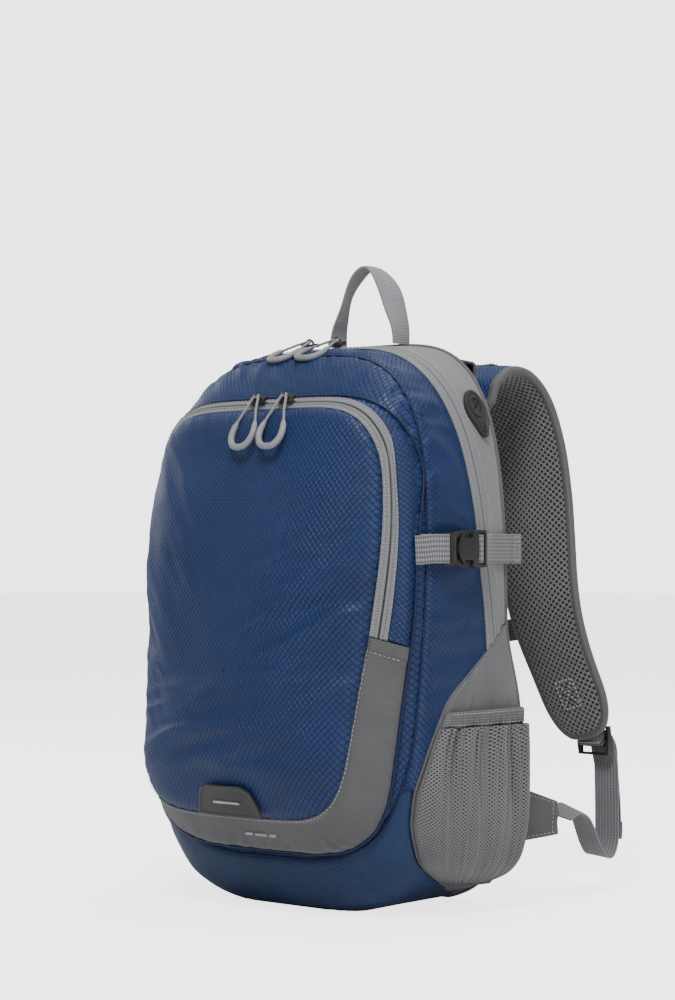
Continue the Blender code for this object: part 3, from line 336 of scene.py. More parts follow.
ribbedWebbing = webbingFinish("ribbedPolyesterWebbing", "#8e8e92", "#5c5c60", 0.0031, 0.0014)
ladderWebbing = webbingFinish("ladderPolyesterWebbing", "#a2a3a8", "#55565b", 0.0040, 0.0021)
handleWebbing = webbingFinish("handlePolyesterWebbing", "#a6a6aa", "#76767b", 0.0020, 0.0020)
bindingTape = webbingFinish("wovenBindingTape", "#6c6c6f", "#4a4a4d", 0.0016, 0.0012)
darkBinding = webbingFinish("darkWovenBinding", "#505053", "#353537", 0.0016, 0.0012)
elasticHem = webbingFinish("ribbedElastic", "#838386", "#4c4c4f", 0.0022, 0.0012)


def mouldedFinish(name, colour, roughness, grain, **values):
    # injection moulded: fine spark-eroded texture, slightly uneven gloss
    made, tree, shader = newFinish(name, roughness, **values)
    tree.links.new(
        shaded(tree, hexColour(colour), blotch(tree, 0.012, 0.9, 1.1)), shader.inputs["Base Color"]
    )
    tree.links.new(blotch(tree, 0.006, roughness - 0.05, roughness + 0.08), shader.inputs["Roughness"])
    spot = addNode(tree, "ShaderNodeTexCoord").outputs["Object"]
    pits = addNode(tree, "ShaderNodeTexNoise", None, {"Vector": spot, "Scale": 1 / grain, "Detail": 3.0})
    embossed(tree, shader, pits.outputs[0], 0.00005, 0.5)
    return made


blackAcetal = mouldedFinish("mouldedBlackAcetal", "#2a2a2b", 0.34, 0.0006, IOR=1.48)
blackRubber = mouldedFinish("mouldedBlackRubber", "#2b2b2c", 0.55, 0.0008)
greyGrip = mouldedFinish("mouldedGreyRubber", "#85868a", 0.5, 0.0007)
zincSlider = mouldedFinish("gunmetalPlatedZinc", "#55534f", 0.32, 0.0009, Metallic=0.9)
paleReflector = mouldedFinish("reflectiveSilverInk", "#a4a6aa", 0.25, 0.0005, Metallic=0.4)
foamCore = mouldedFinish("closedCellFoam", "#3a3a3b", 0.9, 0.0012)
frameSheetPlastic = mouldedFinish("extrudedPolyethylene", "#d9d9d6", 0.45, 0.0020)
liningTaffeta = coarseWeave("darkLiningTaffeta", "#3b3b3e", "#2a2a2c", 0.6)
cordBraid = webbingFinish("braidedPolyesterCord", "#a9a9ae", "#707075", 0.0010, 0.0014)
blueThread = mouldedFinish("bondedNavyThread", "#1a2846", 0.6, 0.0004)
greyThread = mouldedFinish("bondedGreyThread", "#a9a9ac", 0.6, 0.0004)
darkThread = mouldedFinish("bondedCharcoalThread", "#4a4a4c", 0.6, 0.0004)
# painted shadow: a darker navy finish for the thin tubes laid along seams, standing in for the shade in each seam's
# fold
seamShadow = ripstopFinish("turnedNavySeam", "#0f2248", "#060d20", squareRules, 0.00015)
print("finishes ready")


# the body's surfaces, which every sewn panel follows

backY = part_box("back_panel")[0].y - 0.0005
bodyShape = {
    "halfWidth": 0.147, "height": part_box("back_panel")[1].z, "rimTop": 0.469,
    "widest": 0.175, "rimY": -0.005, "sideDepth": 0.062, "topDepth": 0.080, "narrowing": 0.050, "widening": 0.090,
    "sag": 0.004, "sideSquare": 4.0, "topSquare": 2.0, "lowSquare": 3.0,
}


def smooth(value):
    value = np.clip(value, 0.0, 1.0)
    return value * value * (3 - 2 * value)


def easedLine(points, blur=0.010):
    # a list of (height, value) as a smooth curve, sampled finely
    spots, values = np.array(points).T
    fine = np.arange(spots[0] - 0.05, spots[-1] + 0.05, 0.001)
    raw = np.interp(fine, spots, values)
    reach = np.arange(-30, 31) * 0.001
    weight = np.exp(-0.5 * (reach / blur) ** 2)
    eased = np.convolve(np.pad(raw, 30, mode="edge"), weight / weight.sum(), "valid")
    return fine, eased


def makeOutline(halfWidth, top, bottom, middle, topPower, lowPower):
    # a rounded outline: half of one squared oval above its middle and half of another below
    angle = np.linspace(-np.pi / 2, 1.5 * np.pi, 2881)
    up, side = np.sin(angle), np.cos(angle)
    power, reach = np.where(up >= 0, topPower, lowPower), np.where(up >= 0, top - middle, middle - bottom)
    x = np.sign(side) * np.abs(side) ** (2 / power) * halfWidth
    z = np.sign(up) * np.abs(up) ** (2 / power) * reach
    run = np.concatenate([[0], np.cumsum(np.hypot(np.diff(x), np.diff(z)))])
    return {
        "x": x, "up": z, "way": run / run[-1], "round": run[-1], "middle": middle, "halfWidth": halfWidth,
        "rise": top - middle, "drop": middle - bottom, "topPower": topPower, "lowPower": lowPower,
    }


def outlineAt(line, way):
    way = np.mod(way, 1.0)
    return np.interp(way, line["way"], line["x"]), np.interp(way, line["way"], line["up"])


def wayAt(line, height):
    half = len(line["way"]) // 2 + 1
    return np.interp(np.asarray(height, float) - line["middle"], line["up"][:half], line["way"][:half])


def outShare(line, x, height):
    up = height - line["middle"]
    power = np.where(up >= 0, line["topPower"], line["lowPower"])
    reach = np.where(up >= 0, line["rise"], line["drop"])
    across, along = np.abs(x) / line["halfWidth"], np.abs(up) / reach
    share = (across ** power + along ** power) ** (1 / power)
    return share, np.copysign(along / np.maximum(share, 1e-9), up)


bodyLine = makeOutline(
    bodyShape["halfWidth"], bodyShape["rimTop"], -bodyShape["sag"], bodyShape["widest"], 3.8, 3.4
)
footLine = makeOutline(0.1435, 0.428, 0.050, 0.200, 5.4, 4.4)
edgeLine = makeOutline(0.1275, 0.4175, 0.079, 0.200, 5.6, 5.0)


def frontCurve(up):
    goal = np.where(up > 0, bodyShape["topSquare"], bodyShape["lowSquare"])
    depth = np.where(up > 0, bodyShape["topDepth"], bodyShape["sideDepth"])
    base = bodyShape["sideSquare"]
    return base + (goal - base) * up * up, bodyShape["sideDepth"] + (depth - bodyShape["sideDepth"]) * up * up


def frontY(x, height):
    share, up = outShare(bodyLine, x, height)
    share = np.minimum(share, 1.0)
    square, depth = frontCurve(up)
    depth = bodyShape["sideDepth"] + (depth - bodyShape["sideDepth"]) * share
    return bodyShape["rimY"] - depth * (1 - share ** square) ** (1 / square)


def bodyAt(way, y):
    # the body's surface at a share of the way round (0 bottom, 0.25 right, 0.5 top) and a depth
    way, y = np.broadcast_arrays(np.asarray(way, float), np.asarray(y, float))
    shape = bodyShape
    x, up = outlineAt(bodyLine, way)
    back = np.maximum((y - shape["rimY"]) / (backY - shape["rimY"]), 0)
    rise = np.where(
        up > 0, 1 + back * (shape["height"] - shape["rimTop"]) / (shape["rimTop"] - shape["widest"]), 1
    )
    low = smooth((0.240 - shape["widest"] - up) / 0.080)
    rear = np.stack([
        x * (
            1 - (shape["narrowing"] - shape["widening"] * low) * back * back
        ), y, shape["widest"] + up * rise,
    ], -1)
    square, depth = frontCurve(outShare(bodyLine, x, shape["widest"] + up)[1])
    least, most = np.zeros_like(x), np.ones_like(x)
    for _ in range(30):
        share = (least + most) / 2
        deep = shape["sideDepth"] + (depth - shape["sideDepth"]) * share
        here = shape["rimY"] - deep * (1 - share ** square) ** (1 / square)
        least, most = np.where(here > y, least, share), np.where(here > y, share, most)
    front = np.stack([x * share, y, shape["widest"] + up * share], -1)
    made = np.where((y >= shape["rimY"])[..., None], rear, front)
    made[..., 2] = np.maximum(made[..., 2], 0.0)
    return made


def bodyFront(way, share):
    x, up = outlineAt(bodyLine, way)
    x, height = x * share, bodyShape["widest"] + up * share
    return np.stack([x, frontY(x, height), np.maximum(height, 0.0)], -1)


pocketShape = {
    "middle": 0.200, "bulge": 0.036, "fullness": 1.9, "standOff": 0.0060, "zipEnd": 0.222, "zipWidth": 0.016
}
edgeLineY = easedLine(
    [(0.079, -0.090), (0.120, -0.087), (0.160, -0.081), (0.220, -0.074), (0.280, -0.068), (0.370, -0.0585)],
    0.012
)


def edgeY(height):
    top = smooth((height - 0.370) / (0.4175 - 0.370))
    return np.interp(height, *edgeLineY) + (-0.064 + 0.0585) * top


def pocketEdge(way, share=1.0):
    x, up = outlineAt(edgeLine, way)
    height = pocketShape["middle"] + up * share
    return x * share * (1 - 0.12 * smooth((0.330 - height) / 0.200)), height


def pocketRim(way, share):
    x, up = outlineAt(footLine, way)
    height = pocketShape["middle"] + up
    x = x * (1 - 0.07 * smooth((0.260 - height) / 0.160))
    foot = np.stack(np.broadcast_arrays(x, frontY(x, height) - pocketShape["standOff"], height), -1)
    x, height = pocketEdge(way)
    edge = np.stack(np.broadcast_arrays(x, edgeY(height), height), -1)
    made = foot + (edge - foot) * np.asarray(share)[..., None]
    made[..., 1] = np.minimum(made[..., 1], frontY(made[..., 0], made[..., 2]) - pocketShape["standOff"])
    return made


def pocketFront(way, share):
    x, height = pocketEdge(way, share)
    crown = np.maximum(
        0, 1 - np.minimum(share, 1.0) ** pocketShape["fullness"]
    ) ** (1 / pocketShape["fullness"])
    return np.stack(np.broadcast_arrays(x, edgeY(height) - pocketShape["bulge"] * crown, height), -1)


zipLine = easedLine(
    [(0.235, 0.064), (0.290, 0.054), (0.325, 0.052), (0.390, 0.042), (0.430, 0.033), (0.460, 0.025)]
)
seamLine = easedLine([
    (0.012, -0.058), (0.045, -0.055), (0.104, -0.048), (0.140, -0.042), (0.240, -0.032), (0.310, -0.027),
    (0.390, -0.020), (0.440, -0.018),
])
goreLine = easedLine([
    (0.012, 0.060), (0.026, 0.020), (0.045, -0.024), (0.072, -0.040), (0.104, -0.041), (0.140, -0.029),
    (0.179, -0.0050), (0.235, 0.0850),
], 0.007)


def lineY(line, last, topY, way):
    # a seam's depth: by height up the sides, then level over the top
    way = np.minimum(np.mod(way, 1.0), 1 - np.mod(way, 1.0))
    height = bodyShape["widest"] + outlineAt(bodyLine, way)[1]
    lastWay, lastY = wayAt(bodyLine, last), np.interp(last, *line)
    over = lastY + (topY - lastY) * smooth((way - lastWay) / (0.5 - lastWay))
    return np.where(way <= lastWay, np.interp(height, *line), over)


def mainZipY(way):
    return lineY(zipLine, 0.460, 0.020, way)


def frontSeamY(way):
    return lineY(seamLine, 0.440, -0.017, way)


def goreY(way):
    return lineY(goreLine, 0.235, 0.085, way)


def goreWay(y):
    # the way round where the gore's slanting upper edge has this depth
    return wayAt(bodyLine, 0.179 + (0.235 - 0.179) * (np.asarray(y, float) + 0.005) / 0.090)


# meshes from grids of points

kit = {"count": 0}


def lift(points, middle):
    # outward normals of a grid of points
    first, second = np.gradient(points, axis=0), np.gradient(points, axis=1)
    normal = np.cross(first, second)
    normal /= np.maximum(np.linalg.norm(normal, axis=-1, keepdims=True), 1e-12)
    facing = np.sign((normal * (points - np.array(middle))).sum())
    return normal * (facing or 1.0)


def clothRun(points):
    # flat cloth lengths along both directions of a grid, in metres
    u = np.concatenate(
        [np.zeros((1, points.shape[1])), np.cumsum(np.linalg.norm(np.diff(points, axis=0), axis=-1), 0)]
    )
    v = np.concatenate(
        [np.zeros((points.shape[0], 1)), np.cumsum(np.linalg.norm(np.diff(points, axis=1), axis=-1), 1)], 1
    )
    u = np.repeat(u[:, points.shape[1] // 2][:, None], points.shape[1], 1)
    return np.stack([u - u.mean(), v - v.mean(1, keepdims=True)], -1)


def meshFrom(name, verts, faces, uv=None, finish=None):
    mesh = bpy.data.meshes.new(name)
    mesh.from_pydata([tuple(v) for v in verts], [], faces)
    if uv is not None:
        layer = mesh.uv_layers.new(name="cloth")
        corner = np.empty(len(mesh.loops), np.int32)
        mesh.loops.foreach_get("vertex_index", corner)
        layer.data.foreach_set("uv", np.asarray(uv, np.float32)[corner].ravel())
    obj = bpy.data.objects.new(name, mesh)
    bpy.context.scene.collection.objects.link(obj)
    if finish is not None:
        mesh.materials.append(finish)
    mesh.shade_smooth()
    return obj


def settle(obj, body, nodes=()):
    if isinstance(body, str):
        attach(obj, body)
    else:
        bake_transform(obj)
    if nodes:
        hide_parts(*nodes)
    kit["count"] += 1
    return obj


def tidied(obj, distance=0.00003, outward=True):
    work = bmesh.new()
    work.from_mesh(obj.data)
    bmesh.ops.remove_doubles(work, verts=work.verts, dist=distance)
    bmesh.ops.dissolve_degenerate(work, edges=work.edges, dist=distance / 3)
    if outward:
        bmesh.ops.recalc_face_normals(work, faces=work.faces)
    work.to_mesh(obj.data)
    work.free()
    obj.data.shade_smooth()
    return obj


def applied(obj):
    # takes the modifiers' result over into the mesh
    bpy.ops.object.select_all(action="DESELECT")
    obj.select_set(True)
    bpy.context.view_layer.objects.active = obj
    for name in [m.name for m in obj.modifiers]:
        bpy.ops.object.modifier_apply(modifier=name)
    obj.select_set(False)
    return obj


def panel(name, points, finish, body="pack", nodes=(), thickness=0.0012, uv=None,
          middle=(0, 0, 0.24), relief=None, mirrored=False, align=None):
    # a sewn panel: points is a grid, relief moves each point out along its normal
    points = np.array(points, float)
    uv = clothRun(points) if uv is None else np.array(uv, float)
    normal = lift(points, middle) if align is None else align
    if relief is not None:
        points = points + normal * relief(points, uv)[..., None]
    if mirrored:
        points, normal = points * [-1, 1, 1], normal * [-1, 1, 1]
    rows, cols = points.shape[:2]
    index = np.arange(rows * cols).reshape(rows, cols)
    a, b, c, d = index[:-1, :-1], index[1:, :-1], index[1:, 1:], index[:-1, 1:]
    faces = np.stack([a, b, c, d], -1).reshape(-1, 4)
    flat = points.reshape(-1, 3)
    cross = np.cross(flat[faces[:, 2]] - flat[faces[:, 0]], flat[faces[:, 3]] - flat[faces[:, 1]])
    if (cross * normal.reshape(-1, 3)[faces[:, 0]]).sum() < 0:
        faces = faces[:, ::-1]
    obj = meshFrom(name, flat, faces.tolist(), uv.reshape(-1, 2), finish)
    work = bmesh.new()
    work.from_mesh(obj.data)
    bmesh.ops.remove_doubles(work, verts=work.verts, dist=0.00002)
    work.to_mesh(obj.data)
    work.free()
    shell = obj.modifiers.new("Thickness", "SOLIDIFY")
    shell.thickness, shell.offset = thickness, -1.0
    applied(obj)
    obj.data.shade_smooth()
    return settle(obj, body, nodes)


def bumps(points, scale, seed=0.0, octaves=2):
    # smooth noise at each point of a grid, about -1 to 1; scale is the size of a bump along each axis
    flat = (points.reshape(-1, 3) / np.array(scale)) + seed
    made = np.zeros(len(flat))
    size, weight = 1.0, 1.0
    for _ in range(octaves):
        made += weight * np.array([noise.noise(Vector(p)) for p in flat * size])
        size, weight = size * 2.1, weight * 0.45
    return made.reshape(points.shape[:-1])


def folds(points, direction, across, along, seed):
    # long soft folds lying along a direction in the XZ plane
    turn = math.radians(direction)
    first = points[..., 0] * math.cos(turn) + points[..., 2] * math.sin(turn)
    second = -points[..., 0] * math.sin(turn) + points[..., 2] * math.cos(turn)
    grid = np.stack([first / along, second / across, points[..., 1] / 0.08], -1)
    wave = bumps(grid, 1.0, seed, 2)
    return 1 - 2.0 * np.sqrt(wave * wave + 0.006)


def sweep(name, line, side, section, finish, closed=False):
    # a section carried along a line; the section is (across, out) pairs, one list or one for each point
    line = np.array(line, float)
    count = len(line)
    side = np.broadcast_to(np.array(side, float), line.shape).copy()
    if closed:
        ahead = np.roll(line, -1, 0) - np.roll(line, 1, 0)
    else:
        ahead = np.gradient(line, axis=0)
    ahead /= np.linalg.norm(ahead, axis=1, keepdims=True)
    side -= ahead * (side * ahead).sum(1, keepdims=True)
    side /= np.linalg.norm(side, axis=1, keepdims=True)
    out = np.cross(ahead, side)
    section = np.array(section, float)
    if section.ndim == 2:
        section = np.broadcast_to(section, (count, *section.shape))
    ring = section.shape[1]
    verts = line[:, None] + side[:, None] * section[..., :1] + out[:, None] * section[..., 1:]
    steps = np.linalg.norm(np.diff(line, axis=0), axis=1)
    along = np.concatenate([[0], np.cumsum(steps)])
    uv = np.stack([section[..., 0], np.repeat(along[:, None], ring, 1)], -1)
    index = np.arange(count * ring).reshape(count, ring)
    rows = count if closed else count - 1
    faces = []
    for i in range(rows):
        j = (i + 1) % count
        for k in range(ring):
            m = (k + 1) % ring
            faces.append((index[i, k], index[i, m], index[j, m], index[j, k]))
    if not closed:
        faces += [tuple(index[0]), tuple(index[-1][::-1])]
    obj = meshFrom(name, verts.reshape(-1, 3), faces, uv.reshape(-1, 2), finish)
    work = bmesh.new()
    work.from_mesh(obj.data)
    bmesh.ops.recalc_face_normals(work, faces=work.faces)
    work.to_mesh(obj.data)
    work.free()
    obj.data.shade_smooth()
    obj.data.set_sharp_from_angle(angle=math.radians(50))
    return obj


def roundSection(radius, sides=10, flat=1.0):
    turn = np.linspace(0, 2 * np.pi, sides, endpoint=False)
    return np.stack([np.cos(turn) * radius, np.sin(turn) * radius * flat], -1)


def strapSection(width, thickness, steps=6):
    # a flat webbing's section with rounded edges
    half, low = width / 2, thickness / 2
    turn = np.linspace(-np.pi / 2, np.pi / 2, 5)
    right = [(half - low + low * math.cos(t), low * math.sin(t)) for t in turn]
    across = np.linspace(half - low, -half + low, steps + 1)[1:-1]
    left = [(-x, -y) for x, y in right]
    return [*right, *((x, low) for x in across), *left, *((-x, -low) for x in across)]


def smoothLine(points, steps=8):
    points = [Vector(p) for p in points]
    ends = [points[0] * 2 - points[1], *points, points[-1] * 2 - points[-2]]
    line = []
    for i in range(len(points) - 1):
        a, b, c, d = ends[i:i + 4]
        for k in range(steps):
            t = k / steps
            line.append(
                0.5 * (
                    2 * b + (c - a) * t + (2 * a - 5 * b + 4 * c - d) * t ** 2 + (3 * b - a - 3 * c + d) * t ** 3
                )
            )
    return np.array([*line, points[-1]])


def resampled(line, step):
    line = np.array(line, float)
    run = np.concatenate([[0], np.cumsum(np.linalg.norm(np.diff(line, axis=0), axis=1))])
    count = max(2, int(round(run[-1] / step)) + 1)
    goal = np.linspace(0, run[-1], count)
    return np.stack([np.interp(goal, run, line[:, k]) for k in range(3)], 1), goal


stitches = {}


def stitchRow(group, line, out, stitch=0.0026, gap=0.0012, radius=0.00034, rise=0.0002):
    # a row of thread: each stitch a small tapered bead bowed over the cloth
    spots, _ = resampled(line, (stitch + gap) / 6)
    out = np.broadcast_to(np.array(out, float), (len(line), 3)) if np.ndim(out) == 1 else np.array(out)
    source = np.linspace(0, 1, len(out))
    goal = np.linspace(0, 1, len(spots))
    normals = np.stack([np.interp(goal, source, out[:, k]) for k in range(3)], 1)
    normals /= np.linalg.norm(normals, axis=1, keepdims=True)
    for i in range(0, len(spots) - 4, 6):
        stitches.setdefault(group, []).append((spots[i:i + 5], normals[i:i + 5], radius, rise))


def sewn(group, name, finish, body):
    verts, faces, base = [], [], 0
    for spots, normals, radius, rise in stitches.pop(group, []):
        ahead = np.gradient(spots, axis=0)
        ahead /= np.linalg.norm(ahead, axis=1, keepdims=True)
        side = np.cross(ahead, normals)
        for k, (fat, high) in enumerate(((0.35, -0.2), (0.9, 0.8), (1.0, 1.0), (0.9, 0.8), (0.35, -0.2))):
            for a, b in ((1, 0), (0, 1), (-1, 0), (0, -1)):
                verts.append(
                    spots[k] + side[k] * a * radius * fat + normals[k] * (
                        b * radius * fat + high * rise + 0.0001
                    )
                )
        for k in range(4):
            for m in range(4):
                n = (m + 1) % 4
                faces.append((base + 4 * k + m, base + 4 * k + n, base + 4 * k + 4 + n, base + 4 * k + 4 + m))
        faces += [(base, base + 1, base + 2, base + 3)[::-1], (base + 16, base + 17, base + 18, base + 19)]
        base += 20
    obj = meshFrom(name, verts, faces, None, finish)
    work = bmesh.new()
    work.from_mesh(obj.data)
    bmesh.ops.recalc_face_normals(work, faces=work.faces)
    work.to_mesh(obj.data)
    work.free()
    return settle(obj, body)


def edgeDip(distance, depth, reach):
    return -depth * np.exp(-(np.maximum(distance, 0) / reach) ** 2)


# main shell

shell = {
    "gap": 0.0003, "zipWidth": 0.024, "tuck": 0.0016, "tuckReach": 0.0034, "pucker": 0.0009,
    "puckerStep": 0.0150
}


def slantedWays(count, y):
    start = goreWay(y) + 0.0004
    return start + (1 - 2 * start) * np.linspace(0, 1, count)[:, None]


def rearGusset():
    rows, cols = 420, 30
    v = np.linspace(0, 1, cols)[None]
    lowY = backY + (0.064 + shell["zipWidth"] / 2 - backY) * v
    way = slantedWays(rows, lowY)
    y = backY + (mainZipY(way) + shell["zipWidth"] / 2 - 0.001 - backY) * v
    points = bodyAt(way, y)

    def relief(spots, uv):
        width = np.abs(uv[:, -1, 1] - uv[:, 0, 1])[:, None]
        fromBack = v * width
        soft = 0.0007 * bumps(spots, (0.05, 0.03, 0.05), 3.0)
        return edgeDip(fromBack, 0.0008, 0.003) + soft + 0.0006

    panel("rearGusset", points, paleWeave, nodes=["rear_gusset"], relief=relief)
    for share in (0.93, 0.85):
        k = int(share * (cols - 1))
        stitchRow("grey", points[6:-6, k], lift(points, (0, 0, 0.24))[6:-6, k])


def mainZip():
    rows, cols = 520, 33
    v = np.linspace(0, 1, cols)[None]
    way = slantedWays(rows, 0.064 + shell["zipWidth"] * (0.5 - v))
    y = mainZipY(way) + shell["zipWidth"] * (0.5 - v)
    points = bodyAt(way, y)
    uv = clothRun(points)

    def relief(spots, flat):
        offLine = np.abs(flat[..., 1])
        roll = 0.0013 * np.exp(-((offLine - 0.0024) / 0.0016) ** 2)
        slit = -0.0009 * np.exp(-(offLine / 0.0006) ** 2)
        edge = 0.0008 * smooth((offLine - 0.0095) / 0.0012)
        return roll + slit + edge + 0.0009

    panel("mainZip", points, mainZipTape, nodes=["main_zip"], uv=uv, relief=relief)
    normal = lift(points, (0, 0, 0.24))
    for k in (2, cols - 3):
        stitchRow("grey", points[4:-4, k] + normal[4:-4, k] * 0.0020, normal[4:-4, k])


def frontGusset():
    rows, cols = 560, 60
    low = wayAt(bodyLine, 0.104) + 0.0006
    way = low + (1 - 2 * low) * np.linspace(0, 1, rows)[:, None]
    v = np.linspace(0, 1, cols)[None]
    start = np.minimum(goreY(way), mainZipY(way) - shell["zipWidth"] / 2 + 0.0010)
    y = start + (frontSeamY(way) - start) * v
    points = bodyAt(way, y)

    def relief(spots, uv):
        width = np.abs(uv[:, -1, 1] - uv[:, 0, 1])[:, None]
        fromZip, fromSeam = v * width, (1 - v) * width
        run = uv[..., 0]
        high = smooth((spots[..., 2] - 0.30) / 0.12)
        wander = run + 0.016 * bumps(spots, 0.035, 5.0, 2)
        patchy = 0.55 + 0.6 * bumps(spots, 0.045, 6.0, 1)
        pucker = patchy * np.sin(2 * np.pi * wander / shell["puckerStep"]) * np.exp(-fromSeam / 0.009)
        crease = folds(spots, 35, 0.026, 0.10, 7.0) * 0.0020 * smooth(fromZip / 0.016) * smooth(fromSeam / 0.012)
        corner = 0.0009 * high * np.sin(2 * np.pi * wander / 0.036 + 1.0) * np.exp(
            -((fromSeam - 0.012) / 0.016) ** 2
        )
        seam = edgeDip(fromSeam, shell["tuck"], shell["tuckReach"]) + 0.0006 * np.exp(-(fromZip / 0.006) ** 2)
        return seam + pucker * shell["pucker"] * (0.7 + 0.5 * high) + crease + corner

    panel(
        "frontGusset", points, diamondRipstop, nodes=["front_gusset"], relief=relief
    )


def frontPanel():
    rows, cols = 720, 56
    way = np.linspace(0, 1, rows)[:, None]
    edge = bodyAt(way[:, 0], frontSeamY(way[:, 0]) - 0.0003)
    limit = outShare(bodyLine, edge[:, 0], edge[:, 2])[0][:, None]
    v = 1 - (1 - np.linspace(0.55, 1, cols)[None]) ** 1.5 * 1.0
    points = bodyFront(way, limit * v)
    uv = points[..., [0, 2]].copy()

    def relief(spots, flat):
        reach = np.linalg.norm(spots - spots[:, -1:], axis=-1)
        run = np.linspace(0, 1.45, rows)[:, None]
        high = smooth((spots[..., 2] - 0.26) / 0.15)
        wander = run + 0.016 * bumps(spots, 0.035, 15.0, 2)
        patchy = 0.55 + 0.6 * bumps(spots, 0.045, 16.0, 1)
        pucker = patchy * np.sin(2 * np.pi * wander / shell["puckerStep"] + 0.8) * np.exp(-reach / 0.009)
        crease = folds(spots, -30, 0.025, 0.09, 21.0) * 0.0010
        corner = 0.0008 * high * np.sin(2 * np.pi * wander / 0.033) * np.exp(-((reach - 0.010) / 0.012) ** 2)
        made = edgeDip(
            reach, shell["tuck"], shell["tuckReach"]
        ) + pucker * shell["pucker"] * (0.6 + 0.5 * high)
        return made + crease * smooth(reach / 0.02) + corner * smooth(reach / 0.006)

    panel(
        "frontPanel", points, diamondRipstop, nodes=["front_panel"], uv=uv,
        relief=relief
    )
    # a thin dark tube sunk along the front seam: painted shadow of the seam's fold
    line = bodyAt(way[:, 0], frontSeamY(way[:, 0]))
    normal = line - np.array([0, 0.02, 0.22])
    normal /= np.linalg.norm(normal, axis=1, keepdims=True)
    tube = sweep(
        "frontSeamShadowTube", line[:-1] - normal[:-1] * 0.0014, (0, 1, 0), roundSection(0.0009, 8), seamShadow,
        closed=True
    )
    settle(tube, "pack")


def basePanel():
    rows, cols = 420, 56
    top = wayAt(bodyLine, 0.104) + 0.0006
    way = np.linspace(-top, top, rows)[:, None]
    v = np.linspace(0, 1, cols)[None]
    lowWay, highWay = wayAt(bodyLine, 0.0125), wayAt(bodyLine, 0.018)
    mix = smooth((np.abs(way) - lowWay) / (highWay - lowWay))
    start = backY + (goreY(way) - 0.0004 - backY) * mix
    y = start + (frontSeamY(way) - start) * v
    points = bodyAt(way, y)

    def relief(spots, uv):
        width = np.abs(uv[:, -1, 1] - uv[:, 0, 1])[:, None]
        lifted = smooth((spots[..., 2] - 0.004) / 0.02)
        made = edgeDip(v * width, 0.0010, 0.003) + edgeDip((1 - v) * width, shell["tuck"], shell["tuckReach"])
        return (made + 0.0012 * bumps(spots, (0.05, 0.04, 0.03), 31.0)) * lifted

    panel("basePanel", points, squareRipstop, nodes=["base_panel"], relief=relief)
    # thin dark tubes along both side seams of the base: painted shadow of the seams
    for sign in (1, -1):
        y = np.linspace(goreY(top), frontSeamY(top), 60)
        line = bodyAt(np.full(60, top), y) * [sign, 1, 1]
        line[:, 0] -= sign * 0.0006
        tube = sweep(
            f"baseSeam{'Right' if sign > 0 else 'Left'}", line, (0, 0, 1), roundSection(0.0012, 8), seamShadow
        )
        settle(tube, "pack")


def sideGores():
    rows, cols = 150, 50
    way = np.linspace(wayAt(bodyLine, 0.0125), wayAt(bodyLine, 0.2340), rows)[:, None]
    v = np.linspace(0, 1, cols)[None]
    y = backY + (goreY(way) + 0.0003 - backY) * v
    points = bodyAt(way, y)

    def relief(spots, uv):
        width = np.abs(uv[:, -1, 1] - uv[:, 0, 1])[:, None]
        pull = 0.0012 * folds(
            spots[..., [1, 0, 2]], 62, 0.020, 0.08, 41.0
        ) * smooth((spots[..., 2] - 0.12) / 0.04)
        return edgeDip((1 - v) * width, 0.0006, 0.003) + edgeDip(v * width, 0.001, 0.003) + pull + 0.0008

    for sign, word in ((1, "Right"), (-1, "Left")):
        panel(
            f"sideGore{word}", points, gorePolyester, nodes=[f"side_gore_{word.lower()}"], relief=relief,
            mirrored=sign < 0
        )
        line = points[8:, -1] * [sign, 1, 1]
        normal = lift(points, (0, 0, 0.24))[8:, -1] * [sign, 1, 1]
        tube = sweep(
            f"gorePiping{word}", line + normal * 0.0006, (0, 0.3, 1), roundSection(0.0011, 8), bindingTape
        )
        settle(tube, "pack")
        inner = points[10:-2, -4] * [sign, 1, 1] + normal[2:-2] * 0.0010
        stitchRow("grey", inner, normal[2:-2])


def backSeam():
    # piping all round the back, where the side panels meet the back panel
    way = np.linspace(0, 1, 520)[:-1]
    line = bodyAt(way, backY + 0.0008)
    middle = np.array([0, backY, 0.22])
    inward = line - middle
    inward /= np.linalg.norm(inward, axis=1, keepdims=True)
    line = line - inward * 0.0002
    line[:, 2] = np.maximum(line[:, 2], 0.0020)
    tube = sweep("backPiping", line, (0, 1, 0), roundSection(0.0020, 10), bindingTape, closed=True)
    settle(tube, "pack")


rearGusset()
mainZip()
frontGusset()
frontPanel()
basePanel()
sideGores()
backSeam()
print("main shell:", kit["count"], "pieces")


# side mesh pockets

meshPocket = {
    "low": 0.026, "high": 0.155, "standOff": 0.0026, "gather": 0.0042, "hemHeight": 0.013, "hemBulge": 0.0095
}
bulgeLine = easedLine(
    [
        (0.026, 0.003), (0.036, 0.018), (0.048, 0.028), (0.075, 0.028), (0.100, 0.024), (0.130, 0.018),
        (0.155, 0.013)
    ],
    0.008
)


def pocketSpot(way, v, bulge):
    y = backY + (goreY(way) + 0.003 - backY) * v
    base = bodyAt(way, y)
    normal = lift(base, (0, 0, 0.24))
    belly = np.minimum(1.0, v / 0.12) ** 0.5 * (1 - v ** 2.2) ** 0.8
    return base + normal * (meshPocket["standOff"] + bulge * belly)[..., None]


